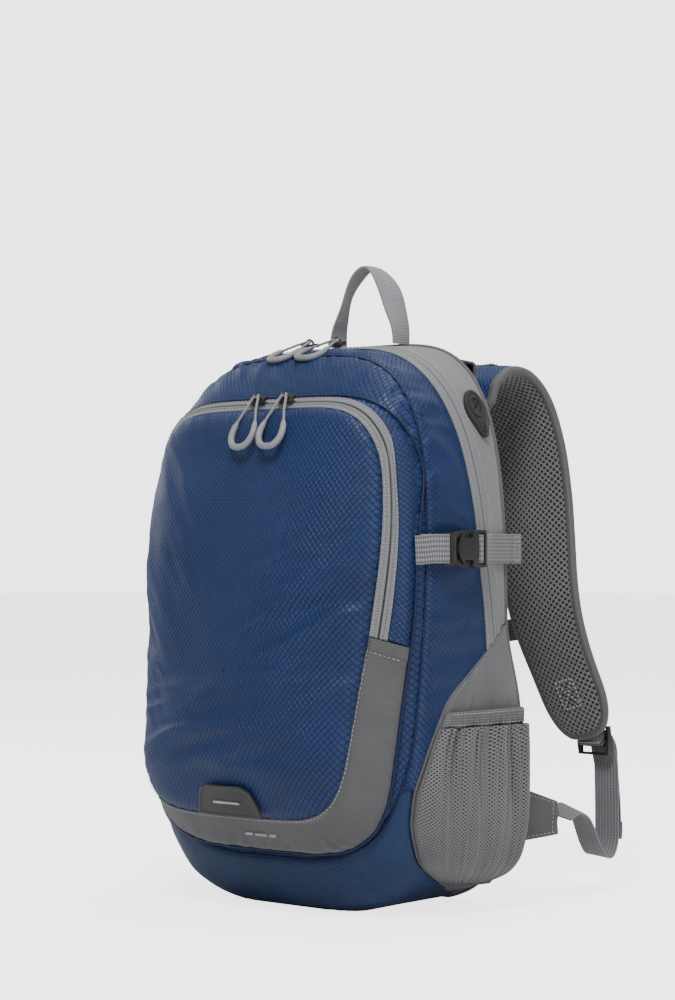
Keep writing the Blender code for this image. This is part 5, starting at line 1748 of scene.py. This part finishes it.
def carryHandle():
    low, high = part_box("handle_loop")
    y = (low.y + high.y) / 2
    footLow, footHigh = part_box("handle_foot_right")
    half = [
        (0.0352, footLow.z - 0.0010), (0.0351, 0.4870), (0.0338, 0.4970), (0.0316, 0.5040), (0.0285, 0.5130),
        (0.0250, 0.5230), (0.0205, 0.5320), (0.0140, 0.5410), (0.0070, 0.5472), (0.0, 0.5495)
    ]
    right = [(a, y, b) for a, b in half]
    whole = smoothLine([*((-a, b, c) for a, b, c in right[:-1]), *reversed(right)], 8)
    share = np.linspace(-1, 1, len(whole))
    twist = 0.42 * np.sin(np.pi * share) * np.exp(-((np.abs(share) - 0.42) / 0.42) ** 2)
    side = np.stack([np.sin(twist), np.cos(twist), 0 * twist], 1)
    line, _ = resampled(whole, 0.0022)
    grown = np.linspace(0, 1, len(side))
    side = np.stack([np.interp(np.linspace(0, 1, len(line)), grown, side[:, k]) for k in range(3)], 1)
    mid = np.abs(np.linspace(-1, 1, len(line)))
    # the middle of the grip is folded narrower, as sewn webbing is
    width = 0.92 - 0.16 * np.exp(-(mid / 0.16) ** 2)
    section = np.array(strapSection(webbing["width"], 0.0024, 12))
    sections = np.repeat(section[None], len(line), 0)
    sections[..., 0] *= width[:, None]
    sections[..., 1] += 0.0011 * np.cos(sections[..., 0] / 0.0125 * np.pi / 2)
    loop = sweep("carryHandle", line, side, sections, handleWebbing)
    bend = ("pack", "handle", (0, y, low.z - 0.0060), (0, y, low.z + 0.0120))
    settle(loop, bend, ["handle_loop", "handle_foot_left", "handle_foot_right"])


compressionStraps()
carryHandle()
print("webbing:", kit["count"], "pieces")


# padded back, swelled by a cloth simulation

backPads = {"voxel": 0.0045, "pressure": 4.0, "cap": 0.0040, "shrink": 0.0015}


def swelled(obj, cap, keep):
    # fills a closed cover by cloth pressure, then lets no point move further than the cap
    remesh = obj.modifiers.new("Remesh", "REMESH")
    remesh.mode, remesh.voxel_size = "VOXEL", backPads["voxel"]
    applied(obj)
    start = np.array([v.co[:] for v in obj.data.vertices])
    cloth = obj.modifiers.new("Cloth", "CLOTH")
    cloth.settings.use_pressure = True
    cloth.settings.uniform_pressure_force = backPads["pressure"]
    cloth.settings.effector_weights.gravity = 0
    cloth.settings.tension_stiffness = cloth.settings.compression_stiffness = 15
    cloth.point_cache.frame_start, cloth.point_cache.frame_end = 1, 20
    for number in range(1, 21):
        bpy.context.scene.frame_set(number)
    applied(obj)
    bpy.context.scene.frame_set(1)
    end = np.array([v.co[:] for v in obj.data.vertices])
    move = end - start
    far = np.linalg.norm(move, axis=1, keepdims=True)
    end = start + move * np.minimum(1, cap / np.maximum(far, 1e-9))
    end = keep(end)
    obj.data.vertices.foreach_set("co", end.ravel())
    rounder = obj.modifiers.new("Rounder", "SUBSURF")
    rounder.levels = rounder.render_levels = 1
    applied(obj)
    return obj


def flatUv(obj, first, second):
    layer = obj.data.uv_layers.get("cloth") or obj.data.uv_layers.new(name="cloth")
    co = np.empty(len(obj.data.vertices) * 3)
    obj.data.vertices.foreach_get("co", co)
    co = co.reshape(-1, 3)
    corner = np.empty(len(obj.data.loops), np.int32)
    obj.data.loops.foreach_get("vertex_index", corner)
    uv = co[corner][:, [first, second]]
    # faces that look sideways are unrolled from the sides instead
    for face in obj.data.polygons:
        loops = slice(face.loop_start, face.loop_start + face.loop_total)
        if abs(face.normal.x) > 0.7:
            uv[loops] = co[corner[loops]][:, [1, 2]]
        elif abs(face.normal.z) > 0.7:
            uv[loops] = co[corner[loops]][:, [0, 1]]
    layer.data.foreach_set("uv", uv.astype(np.float32).ravel())


def backPanel():
    rows, cols = 360, 40
    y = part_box("back_panel")[1].y
    way = np.linspace(0, 1, rows)[:, None]
    edge = bodyAt(way[:, 0], np.full(rows, backY))
    v = np.linspace(0, 1, cols)[None, :, None]
    middle = np.array([0, y, bodyShape["widest"]])
    points = middle + (np.stack([edge[:, 0], np.full(rows, y), edge[:, 2]], -1)[:, None] - middle) * v
    uv = points[..., [0, 2]].copy()

    def relief(spots, flat):
        away = np.linalg.norm(spots - spots[:, -1:], axis=-1)
        return edgeDip(away, 0.0018, 0.004) + 0.0006 * bumps(spots, 0.04, 91.0) * smooth(away / 0.02) - 0.0004

    panel(
        "backPanel", points, greyWeave, nodes=["back_panel"], uv=uv, middle=(0, 0, 0.24), relief=relief,
        thickness=0.0018, align=np.broadcast_to([0.0, 1.0, 0.0], points.shape).copy()
    )


def padPiece(name, node):
    low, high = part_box(node)
    small = backPads["shrink"]
    pad = startBlock(
        name, (low.x + small, low.y + 0.0008, low.z + small),
        (high.x - small, high.y - 0.0030, high.z - small)
    )
    bevelled(pad, 0.006, 3)

    def keep(p):
        p = p.copy()
        p[:, 1] = np.clip(p[:, 1], low.y - 0.0004, high.y + 0.0015)
        return p

    swelled(pad, backPads["cap"], keep)
    co = np.array([v.co[:] for v in pad.data.vertices])
    middle = np.array((low + high) / 2)
    half = np.array((high - low) / 2)
    front = smooth((co[:, 1] - middle[1]) / 0.004)
    across = (co[:, 0] - middle[0]) / half[0]
    along = co[:, 2] - middle[2]
    channels = np.zeros(len(co))
    if half[2] > half[0]:
        for where in (-0.056, 0.0, 0.056):
            channels += np.exp(-((along - where) / 0.0035) ** 2)
    else:
        for where in (-0.034, 0.034):
            channels += np.exp(-((co[:, 0] - where) / 0.0035) ** 2)
    co[:, 1] -= 0.0040 * channels * front * smooth((1.02 - np.abs(across)) / 0.12)
    co[:, 1] -= 0.0016 * front * smooth((np.abs(across) - 0.80) / 0.2)
    pad.data.vertices.foreach_set("co", co.ravel())
    pad.data.update()
    flatUv(pad, 0, 2)
    finishedHard(pad, spacerMesh)
    pad.data.shade_smooth()
    return pad


def backPadding():
    pad = padPiece("backPadRight", "back_pad_right")
    left = mirroredCopy(pad, "backPadLeft")
    lumbar = padPiece("lumbarPad", "lumbar_pad")
    for obj, node in ((pad, "back_pad_right"), (left, "back_pad_left"), (lumbar, "lumbar_pad")):
        settle(obj, "pack", [node])
        low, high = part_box(node)
        y = low.y + 0.0012
        corner = 0.010
        ring = []
        for cx, cz, start in (
            (high.x - corner, high.z - corner, 0), (low.x + corner, high.z - corner, 90),
            (low.x + corner, low.z + corner, 180), (high.x - corner, low.z + corner, 270)
        ):
            for k in range(9):
                turn = math.radians(start + k * 11.25)
                ring.append((cx + corner * math.cos(turn), y, cz + corner * math.sin(turn)))
        line = resampled([*ring, ring[0]], 0.003)[0][:-1]
        tube = sweep(f"{obj.name}Binding", line, (0, 1, 0), roundSection(0.0016, 8), darkBinding, closed=True)
        settle(tube, "pack")


def yoke():
    low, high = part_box("strap_yoke")
    rows, cols = 130, 40
    u = np.linspace(0, 1, rows)[:, None]
    v = np.linspace(0, 1, cols)[None]
    across = 2 * u - 1
    bottom, top = low.z + 0.004 * across ** 2, high.z - 0.012 * across ** 2
    z = bottom + (top - bottom) * v
    edge = np.minimum(1, np.minimum(v * 48, (1 - v) * 48) / 7) * np.minimum(1, (1 - np.abs(across)) * 104 / 7)
    puff = np.sqrt(np.maximum(0, 1 - (1 - edge) ** 2))
    y = low.y + 0.0022 + (high.y - low.y - 0.0024) * puff + 0 * z
    points = np.stack(np.broadcast_arrays(across * high.x, y, z), -1)

    def relief(spots, flat):
        return 0.0008 * bumps(spots, (0.04, 0.03, 0.03), 95.0) * puff

    piece = panel(
        "strapYoke", points, diamondRipstop, nodes=["strap_yoke"],
        uv=points[..., [0, 2]], relief=relief, thickness=0.0016, middle=(0, 0.05, 0.45)
    )
    outline = np.concatenate([points[:, 0], points[-1, 1:], points[::-1, -1][1:], points[0, ::-1][1:-1]])
    line = resampled(outline, 0.003)[0]
    tube = sweep("yokeBinding", line, (0, 1, 0), roundSection(0.0014, 8), darkBinding, closed=True)
    settle(tube, "pack")
    inset = points[6:-6, 5]
    stitchRow("blue", inset + [0, 0.0012, 0], (0, 1, 0))
    stitchRow("blue", points[6:-6, -6] + [0, 0.0012, 0], (0, 1, 0))


backPanel()
backPadding()
yoke()
print("padded back:", kit["count"], "pieces")


def insides():
    # what is inside the back: a foam sheet, a plastic frame sheet and an open-topped sleeve
    for name, node, finish, slotName, width in (
        ("backFoam", "back_foam", foamCore, "padding", 0.0022), (
            "frameSheet", "frame_sheet", frameSheetPlastic, "frame_sheet", 0.0005
        ),
    ):
        mesh = frame["nodes"][node].data.copy()
        obj = bpy.data.objects.new(name, mesh)
        obj.data.name = name
        bpy.context.scene.collection.objects.link(obj)
        tidied(obj, 0.00002)
        bevelled(obj, width, 2)
        settle(finishedHard(obj, finish), "pack", [node])
    low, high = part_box("inner_sleeve")
    rows, cols = 60, 50
    u, v = np.linspace(0, 1, rows)[:, None], np.linspace(0, 1, cols)[None]
    x, z = low.x + 0.001 + (high.x - low.x - 0.002) * u + 0 * v, low.z + (high.z - low.z) * v + 0 * u
    depth = 0.0235 * (1 - np.abs(2 * u - 1) ** 3) * np.minimum(1.0, v * 4 + 0.02)
    points = np.stack([x, high.y - 0.0014 - depth + 0 * z, z], -1)

    def relief(spots, flat):
        return 0.0014 * bumps(spots, (0.03, 0.05, 0.08), 97.0) * smooth(v * 3)

    panel(
        "innerSleeve", points, liningTaffeta, nodes=["inner_sleeve"],
        uv=points[..., [0, 2]], relief=relief, middle=(0, 0.2, 0.2), thickness=0.0008
    )
    top = points[2:-2, -1] + [0, -0.0002, 0]
    settle(sweep("sleeveElastic", top, (0, 0, 1), strapSection(0.010, 0.0016), elasticHem), "pack")


insides()


# shoulder harness

harness = {
    "width": 0.074, "tipWidth": 0.064, "thick": 0.0125, "binding": 0.0075,
    "line": [
        (0.0735, 0.1120, 0.4300), (0.0755, 0.1180, 0.4460), (0.0795, 0.1360, 0.4560), (0.0845, 0.1580, 0.4500),
        (0.0900, 0.1760, 0.4280), (0.0950, 0.1870, 0.3920), (0.1000, 0.1900, 0.3500), (0.1045, 0.1880, 0.3120),
        (0.1090, 0.1850, 0.2760), (0.1145, 0.1850, 0.2460), (0.1215, 0.1885, 0.2180), (0.1300, 0.1950, 0.1880),
        (0.1385, 0.2015, 0.1600), (0.1450, 0.2065, 0.1370),
    ],
}


# the straps' roots are sewn to the pack and run over the shoulder's crest into the harness; settle only bakes the
# transform of pieces given this, with no bend and no parent
strapBend = ("pack", "harness", (0.0, 0.112, 0.440), (0.0, 0.136, 0.440))


def strapFrame():
    line = smoothLine(harness["line"], 12)
    line, run = resampled(line, 0.0028)
    share = run / run[-1]
    side = np.broadcast_to([1.0, 0, 0], line.shape).copy()
    ahead = np.gradient(line, axis=0)
    ahead /= np.linalg.norm(ahead, axis=1, keepdims=True)
    side -= ahead * (side * ahead).sum(1, keepdims=True)
    side /= np.linalg.norm(side, axis=1, keepdims=True)
    out = np.cross(ahead, side)
    tip = np.sqrt(np.maximum(0.0, 1 - np.maximum(0.0, (share - 0.88) / 0.12) ** 2.4))
    width = (
        harness["width"] - (harness["width"] - harness["tipWidth"]) * smooth((share - 0.6) / 0.3)
    ) * (0.30 + 0.70 * tip)
    return line, side, out, width, run, share


def strapFace(name, sign, outer, finish, nodes):
    # one face of a padded strap: flat towards its binding and crowned in the middle
    line, side, out, width, run, share = strapFrame()
    u = np.linspace(-1, 1, 41)[None]
    # the outer face looks away from the pack
    way = 1.0 if (out[len(out) // 2][1] > 0) == outer else -1.0
    swell = (1 - np.abs(u) ** 3.2) ** 0.75
    ends = np.sqrt(np.clip(np.minimum(share / 0.03, (1 - share) / 0.03), 0, 1))[:, None]
    height = harness["thick"] / 2 * (0.42 + 0.58 * swell * ends)
    points = line[:, None] + side[:, None] * (
        u * (width / 2 - 0.0012)[:, None]
    )[..., None] + out[:, None] * (way * height)[..., None]
    uv = np.stack([u * width[:, None] / 2, np.repeat(run[:, None], 41, 1)], -1)
    normal = np.broadcast_to((out * way)[:, None], points.shape).copy()

    def relief(spots, flat):
        ripple = 0.0007 * bumps(
            np.stack([flat[..., 0], flat[..., 1], 0 * flat[..., 0]], -1), (0.03, 0.022, 1), 101.0 + outer
        )
        return ripple * swell * ends

    piece = panel(
        name, points, finish, body=strapBend, nodes=nodes, uv=uv, relief=relief,
        align=normal, mirrored=sign < 0, thickness=0.0012
    )
    return piece


def strapEdge(name, sign):
    # the woven binding that wraps both faces all round the strap
    line, side, out, width, run, share = strapFrame()
    right = line + side * (width / 2 - 0.0022)[:, None]
    left = line - side * (width / 2 - 0.0022)[:, None]
    ring, around = np.concatenate([right, left[::-1]]), np.concatenate([out, out[::-1]])
    spots, run2 = resampled(ring, 0.0028)
    old = np.concatenate([[0], np.cumsum(np.linalg.norm(np.diff(ring, axis=0), axis=1))])
    normals = np.stack([np.interp(run2, old, around[:, k]) for k in range(3)], 1)
    if sign < 0:
        spots, normals = spots * [-1, 1, 1], normals * [-1, 1, 1]
    half, thin = harness["thick"] * 0.5 * 0.42 + 0.0014, 0.0042
    turn = np.linspace(0, 2 * np.pi, 20, endpoint=False)
    section = np.stack([np.sign(np.cos(turn)) * np.abs(np.cos(turn)) ** 0.75 * half, np.sin(turn) * thin], -1)
    piece = sweep(name, spots, normals, section, bindingTape, closed=True)
    settle(piece, strapBend)
    return spots, normals


def shoulderStraps():
    for sign, word in ((1, "Right"), (-1, "Left")):
        inner = strapFace(
            f"strapMesh{word}", sign, False, spacerMesh, [f"shoulder_strap_{word.lower()}"]
        )
        cover = strapFace(f"strapCover{word}", sign, True, diamondRipstop, [])
        strapEdge(f"strapBinding{word}", sign)
        line, side, out, width, run, share = strapFrame()
        face = 1.0 if out[len(out) // 2][1] > 0 else -1.0
        flip = np.array([sign, 1, 1])
        # a webbing strip sewn down the middle of the outer cover carries the chest strap
        keep = (share > 0.10) & (share < 0.985)
        strip = (line + out * face * (harness["thick"] / 2 + 0.0011))[keep] * flip
        webbingPiece(
            f"strapWebbing{word}", strip, (sign, 0, 0), webbing["narrow"], ribbedWebbing, strapBend, [],
            0.0014
        )
        for shift in (-0.0085, 0.0085):
            row = (line + out * face * (harness["thick"] / 2 + 0.0020) + side * shift)[keep] * flip
            stitchRow("harnessGrey", row, (out * face)[keep] * flip)
        for shift in (-1, 1):
            for way in (1, -1):
                row = (
                    line + side * (shift * (width / 2 - 0.0076))[:, None] + out * way * (
                        harness["thick"] / 2 * 0.62 + 0.0002
                    )
                )[8:-14] * flip
                stitchRow("harnessDark", row, (out * way)[8:-14] * flip)
        # a boxed and crossed patch of stitches near the tip of the mesh side
        spot = np.argmin(np.abs(share - 0.90))
        base, across, ahead = line[spot], side[spot], np.gradient(line, axis=0)[spot]
        ahead = ahead / np.linalg.norm(ahead)
        away = -out[spot] * face
        corners = [
            base + across * a * 0.0095 + ahead * b * 0.0125 + away * (harness["thick"] / 2 + 0.0003) for a,
            b in ((-1, -1), (1, -1), (1, 1), (-1, 1))
        ]
        for a, b in ((0, 1), (1, 2), (2, 3), (3, 0), (0, 2), (1, 3)):
            stitchRow(
                "harnessBinding", np.linspace(corners[a], corners[b], 12) * flip, away * flip, radius=0.0011
            )


def ladderLock(word):
    low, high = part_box(f"ladder_lock_{word.lower()}")
    middle = (low + high) / 2
    lock = startBlock(f"ladderLock{word}", low, high)
    diced(lock, 5)
    half = (high.z - low.z) / 2

    def curl(p):
        rise = (p.z - middle.z) / half
        return Vector(
            (middle.x + (p.x - middle.x) * (1 - 0.05 * rise * rise), p.y + 0.0012 * max(0, -rise - 0.3), p.z)
        )

    shaped(lock, curl)
    cuts = []
    slot = (high.z - low.z - 4 * 0.0035) / 3 + 0.0012
    for k in (-1, 0, 1):
        z = middle.z + k * (slot + 0.0031)
        cuts.append(
            startBlock(
                "cutSlot", (middle.x - 0.0132, low.y - 0.004, z - slot / 2),
                (middle.x + 0.0132, high.y + 0.004, z + slot / 2)
            )
        )
    carved(lock, cuts)
    bevelled(lock, 0.0006, 2)
    settle(
        finishedHard(lock, blackAcetal), f"lock_{word.lower()}",
        [f"ladder_lock_{word.lower()}"]
    )


lowerWebbing = {
    "line": [
        (0.1510, 0.2275, 0.1080), (0.1520, 0.2265, 0.0850), (0.1525, 0.2260, 0.0620), (0.1535, 0.2235, 0.0420),
        (0.1550, 0.2140, 0.0315), (0.1570, 0.2010, 0.0325), (0.1590, 0.1880, 0.0440), (0.1610, 0.1765, 0.0590),
        (0.1630, 0.1650, 0.0715), (0.1645, 0.1520, 0.0775), (0.1655, 0.1400, 0.0770), (0.1660, 0.1290, 0.0730),
    ],
    "wing": (0.052, 0.100, 0.1270),
}


def lowerStraps():
    for sign, word in ((1, "Right"), (-1, "Left")):
        node, flip = word.lower(), np.array([sign, 1, 1])
        line = smoothLine(lowerWebbing["line"], 8)
        share = np.linspace(0, 1, len(line))
        twist = math.radians(-18) * smooth(share * 1.6 - 0.4)
        side = np.stack([np.cos(twist), 0.15 * np.sin(twist), np.sin(twist)], 1)
        top = np.array([(0.1470, 0.2255, 0.1330), (0.1490, 0.2262, 0.1210)])
        line = np.concatenate([smoothLine([*top, line[0]], 6)[:-1], line])
        side = np.concatenate([np.repeat(side[:1], len(line) - len(side), 0), side])
        bend = ("pack", "harness", (sign * 0.166, 0.129, 0.073), (sign * 0.147, 0.2255, 0.133))
        piece, _ = webbingPiece(
            f"lowerWebbing{word}", line * flip, side * [1, sign, sign], webbing["width"], ribbedWebbing, bend,
            [f"lower_webbing_{node}"], 0.0015
        )
        lockLow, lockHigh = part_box(f"ladder_lock_{node}")
        # the webbing's way through the lock, from the sewn tab above it
        middle = (lockLow + lockHigh) / 2
        tab = smoothLine([
            (
                middle.x, 0.2068 if sign else 0, 0.1290
            ), (middle.x, 0.2128, 0.1330), (middle.x, 0.2170, 0.1385), (middle.x, 0.2212, 0.1395),
            (middle.x, 0.2218, 0.1350), (middle.x, 0.2160, 0.1310), (middle.x, 0.2110, 0.1270),
        ], 6)
        webbingPiece(f"lockTab{word}", tab, (1, 0, 0), 0.0238, ribbedWebbing, "harness", [], 0.0013, 0.0012)
        tailLow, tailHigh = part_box(f"webbing_tail_{node}")
        tx = (tailLow.x + tailHigh.x) / 2
        tail = smoothLine([
            (tx, 0.2150, 0.1352), (tx, 0.2202, 0.1372), (tx, 0.2240, 0.1345), (
                tx, tailLow.y + 0.0006, 0.1240
            ),
            (tx + 0.001 * sign, tailLow.y + 0.0016, 0.1000), (tx + 0.0022 * sign, tailLow.y + 0.0030, 0.0750),
            (tx + 0.0030 * sign, tailLow.y + 0.0028, 0.0550), (
                tx + 0.0032 * sign, tailLow.y + 0.0022, tailLow.z + 0.003
            ),
        ], 8)
        webbingPiece(
            f"webbingTail{word}", tail, (1, 0, 0.02 * sign), webbing["width"], ribbedWebbing, f"lock_{node}",
            [f"webbing_tail_{node}"], 0.0015
        )
        end = tail[-1]
        # the tail's folded end, given the dark binding finish so that it is darker than the rest of the tail
        fold = [
            (end[0], end[1] + 0.0016, end[2] + 0.0150), (end[0], end[1] + 0.0019, end[2] + 0.0060),
            (end[0], end[1] + 0.0008, end[2] - 0.0006)
        ]
        webbingPiece(
            f"tailEnd{word}", smoothLine(fold, 5), (1, 0, 0.02 * sign), webbing["width"] + 0.0004,
            darkBinding, f"lock_{node}", [], 0.0022, 0.002
        )
        wing = lowerWebbing["wing"]
        rows, cols = 26, 24
        u, v = np.linspace(0, 1, rows)[:, None], np.linspace(0, 1, cols)[None]
        height = wing[0] + (wing[1] - wing[0]) * u
        root = bodyAt(wayAt(bodyLine, height), np.full_like(height, backY)) + [0.0020, 0.0022, 0]
        tip = np.array([lowerWebbing["line"][-1][0], wing[2], lowerWebbing["line"][-1][2] - 0.001])
        goal = np.stack([np.full_like(u, tip[0]), np.full_like(u, tip[1]), tip[2] + (u - 0.5) * 0.028], -1)
        points = root + (goal - root) * v[..., None]
        normal = lift(points, (0, 0.1, 0.07))
        if normal[..., 0].sum() < 0:
            normal = -normal

        def relief(spots, flat):
            return 0.0011 + 0.0008 * np.sin(flat[..., 0] * 260) * v

        panel(
            f"anchorWing{word}", points, greyWeave, nodes=[f"anchor_wing_{node}"], relief=relief,
            align=normal, thickness=0.0024, mirrored=sign < 0
        )
        for k in (2, rows - 3):
            stitchRow("grey", (points[k, 2:-1] + normal[k, 2:-1] * 0.0014) * flip, normal[k, 2:-1] * flip)
        stitchRow(
            "grey", (points[2:-2, cols - 4] + normal[2:-2, cols - 4] * 0.0016) * flip,
            normal[2:-2, cols - 4] * flip
        )


shoulderStraps()
ladderLock("Right")
ladderLock("Left")
lowerStraps()
print("harness:", kit["count"], "pieces")


# chest strap

def chestStrap():
    for sign, word in ((1, "Right"), (-1, "Left")):
        low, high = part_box(f"chest_slider_{word.lower()}")
        slider = startBlock(f"chestSlider{word}", low, high)
        insetFaces(slider, lambda f: f.normal.y > 0.9, 0.0016, 0.0008)
        bevelled(slider, 0.0008, 3)
        settle(
            finishedHard(slider, blackAcetal), "chest_strap", [f"chest_slider_{word.lower()}"]
        )
        low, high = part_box(f"chest_webbing_{word.lower()}")
        xs = np.linspace(low.x - (0.004 if sign < 0 else -0.000), high.x + (0.004 if sign > 0 else 0.0), 20)
        y = (low.y + high.y) / 2
        z = 0.236 - 0.014 * (1 - (xs / 0.108) ** 2)
        body = (
            "chest_tongue", "chest_strap", (low.x, y, 0.236), (high.x, y, 0.236)
        ) if sign > 0 else "chest_strap"
        webbingPiece(
            f"chestWebbing{word}", np.stack([xs, np.full(20, y), z], 1), (0, 0, 1), webbing["narrow"],
            ribbedWebbing, body, [f"chest_webbing_{word.lower()}"], 0.0015
        )
    low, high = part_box("chest_socket")
    socket = startBlock("chestSocket", low, high)
    insetFaces(socket, lambda f: abs(f.normal.y) > 0.9, 0.0022, 0.0007)
    middle = (low + high) / 2
    carved(socket, [
        startBlock(
            "cutMouth", (middle.x - 0.004, middle.y - 0.0025, low.z + 0.0018),
            (high.x + 0.002, middle.y + 0.0025, high.z - 0.0018)
        ),
        startBlock(
            "cutWindow", (middle.x - 0.002, middle.y - 0.0022, low.z - 0.002),
            (middle.x + 0.005, middle.y + 0.0022, high.z + 0.002)
        ),
    ])
    bevelled(socket, 0.0005, 2)
    settle(finishedHard(socket, blackAcetal), "chest_strap", ["chest_socket"])
    low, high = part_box("chest_tongue")
    tongue = startBlock("chestTongue", low, high)
    carved(
        tongue,
        [
            startBlock(
                "cutGap", (low.x - 0.002, low.y - 0.002, (low.z + high.z) / 2 + s * 0.0040 - 0.0018),
                (low.x + 0.010, high.y + 0.002, (low.z + high.z) / 2 + s * 0.0040 + 0.0018)
            ) for s in (1, -1)
        ]
    )
    bevelled(tongue, 0.0004, 2)
    settle(finishedHard(tongue, blackAcetal), "chest_tongue", ["chest_tongue"])


chestStrap()
print("chest strap:", kit["count"], "pieces")

sewn("grey", "packTopStitching", greyThread, "pack")
sewn("blue", "packBlueStitching", blueThread, "pack")
sewn("harnessGrey", "harnessTopStitching", greyThread, strapBend)
sewn("harnessBinding", "tipPatchStitching", ribbedWebbing, "harness")
sewn("harnessDark", "harnessEdgeStitching", darkThread, strapBend)
print("stitching:", kit["count"], "pieces")
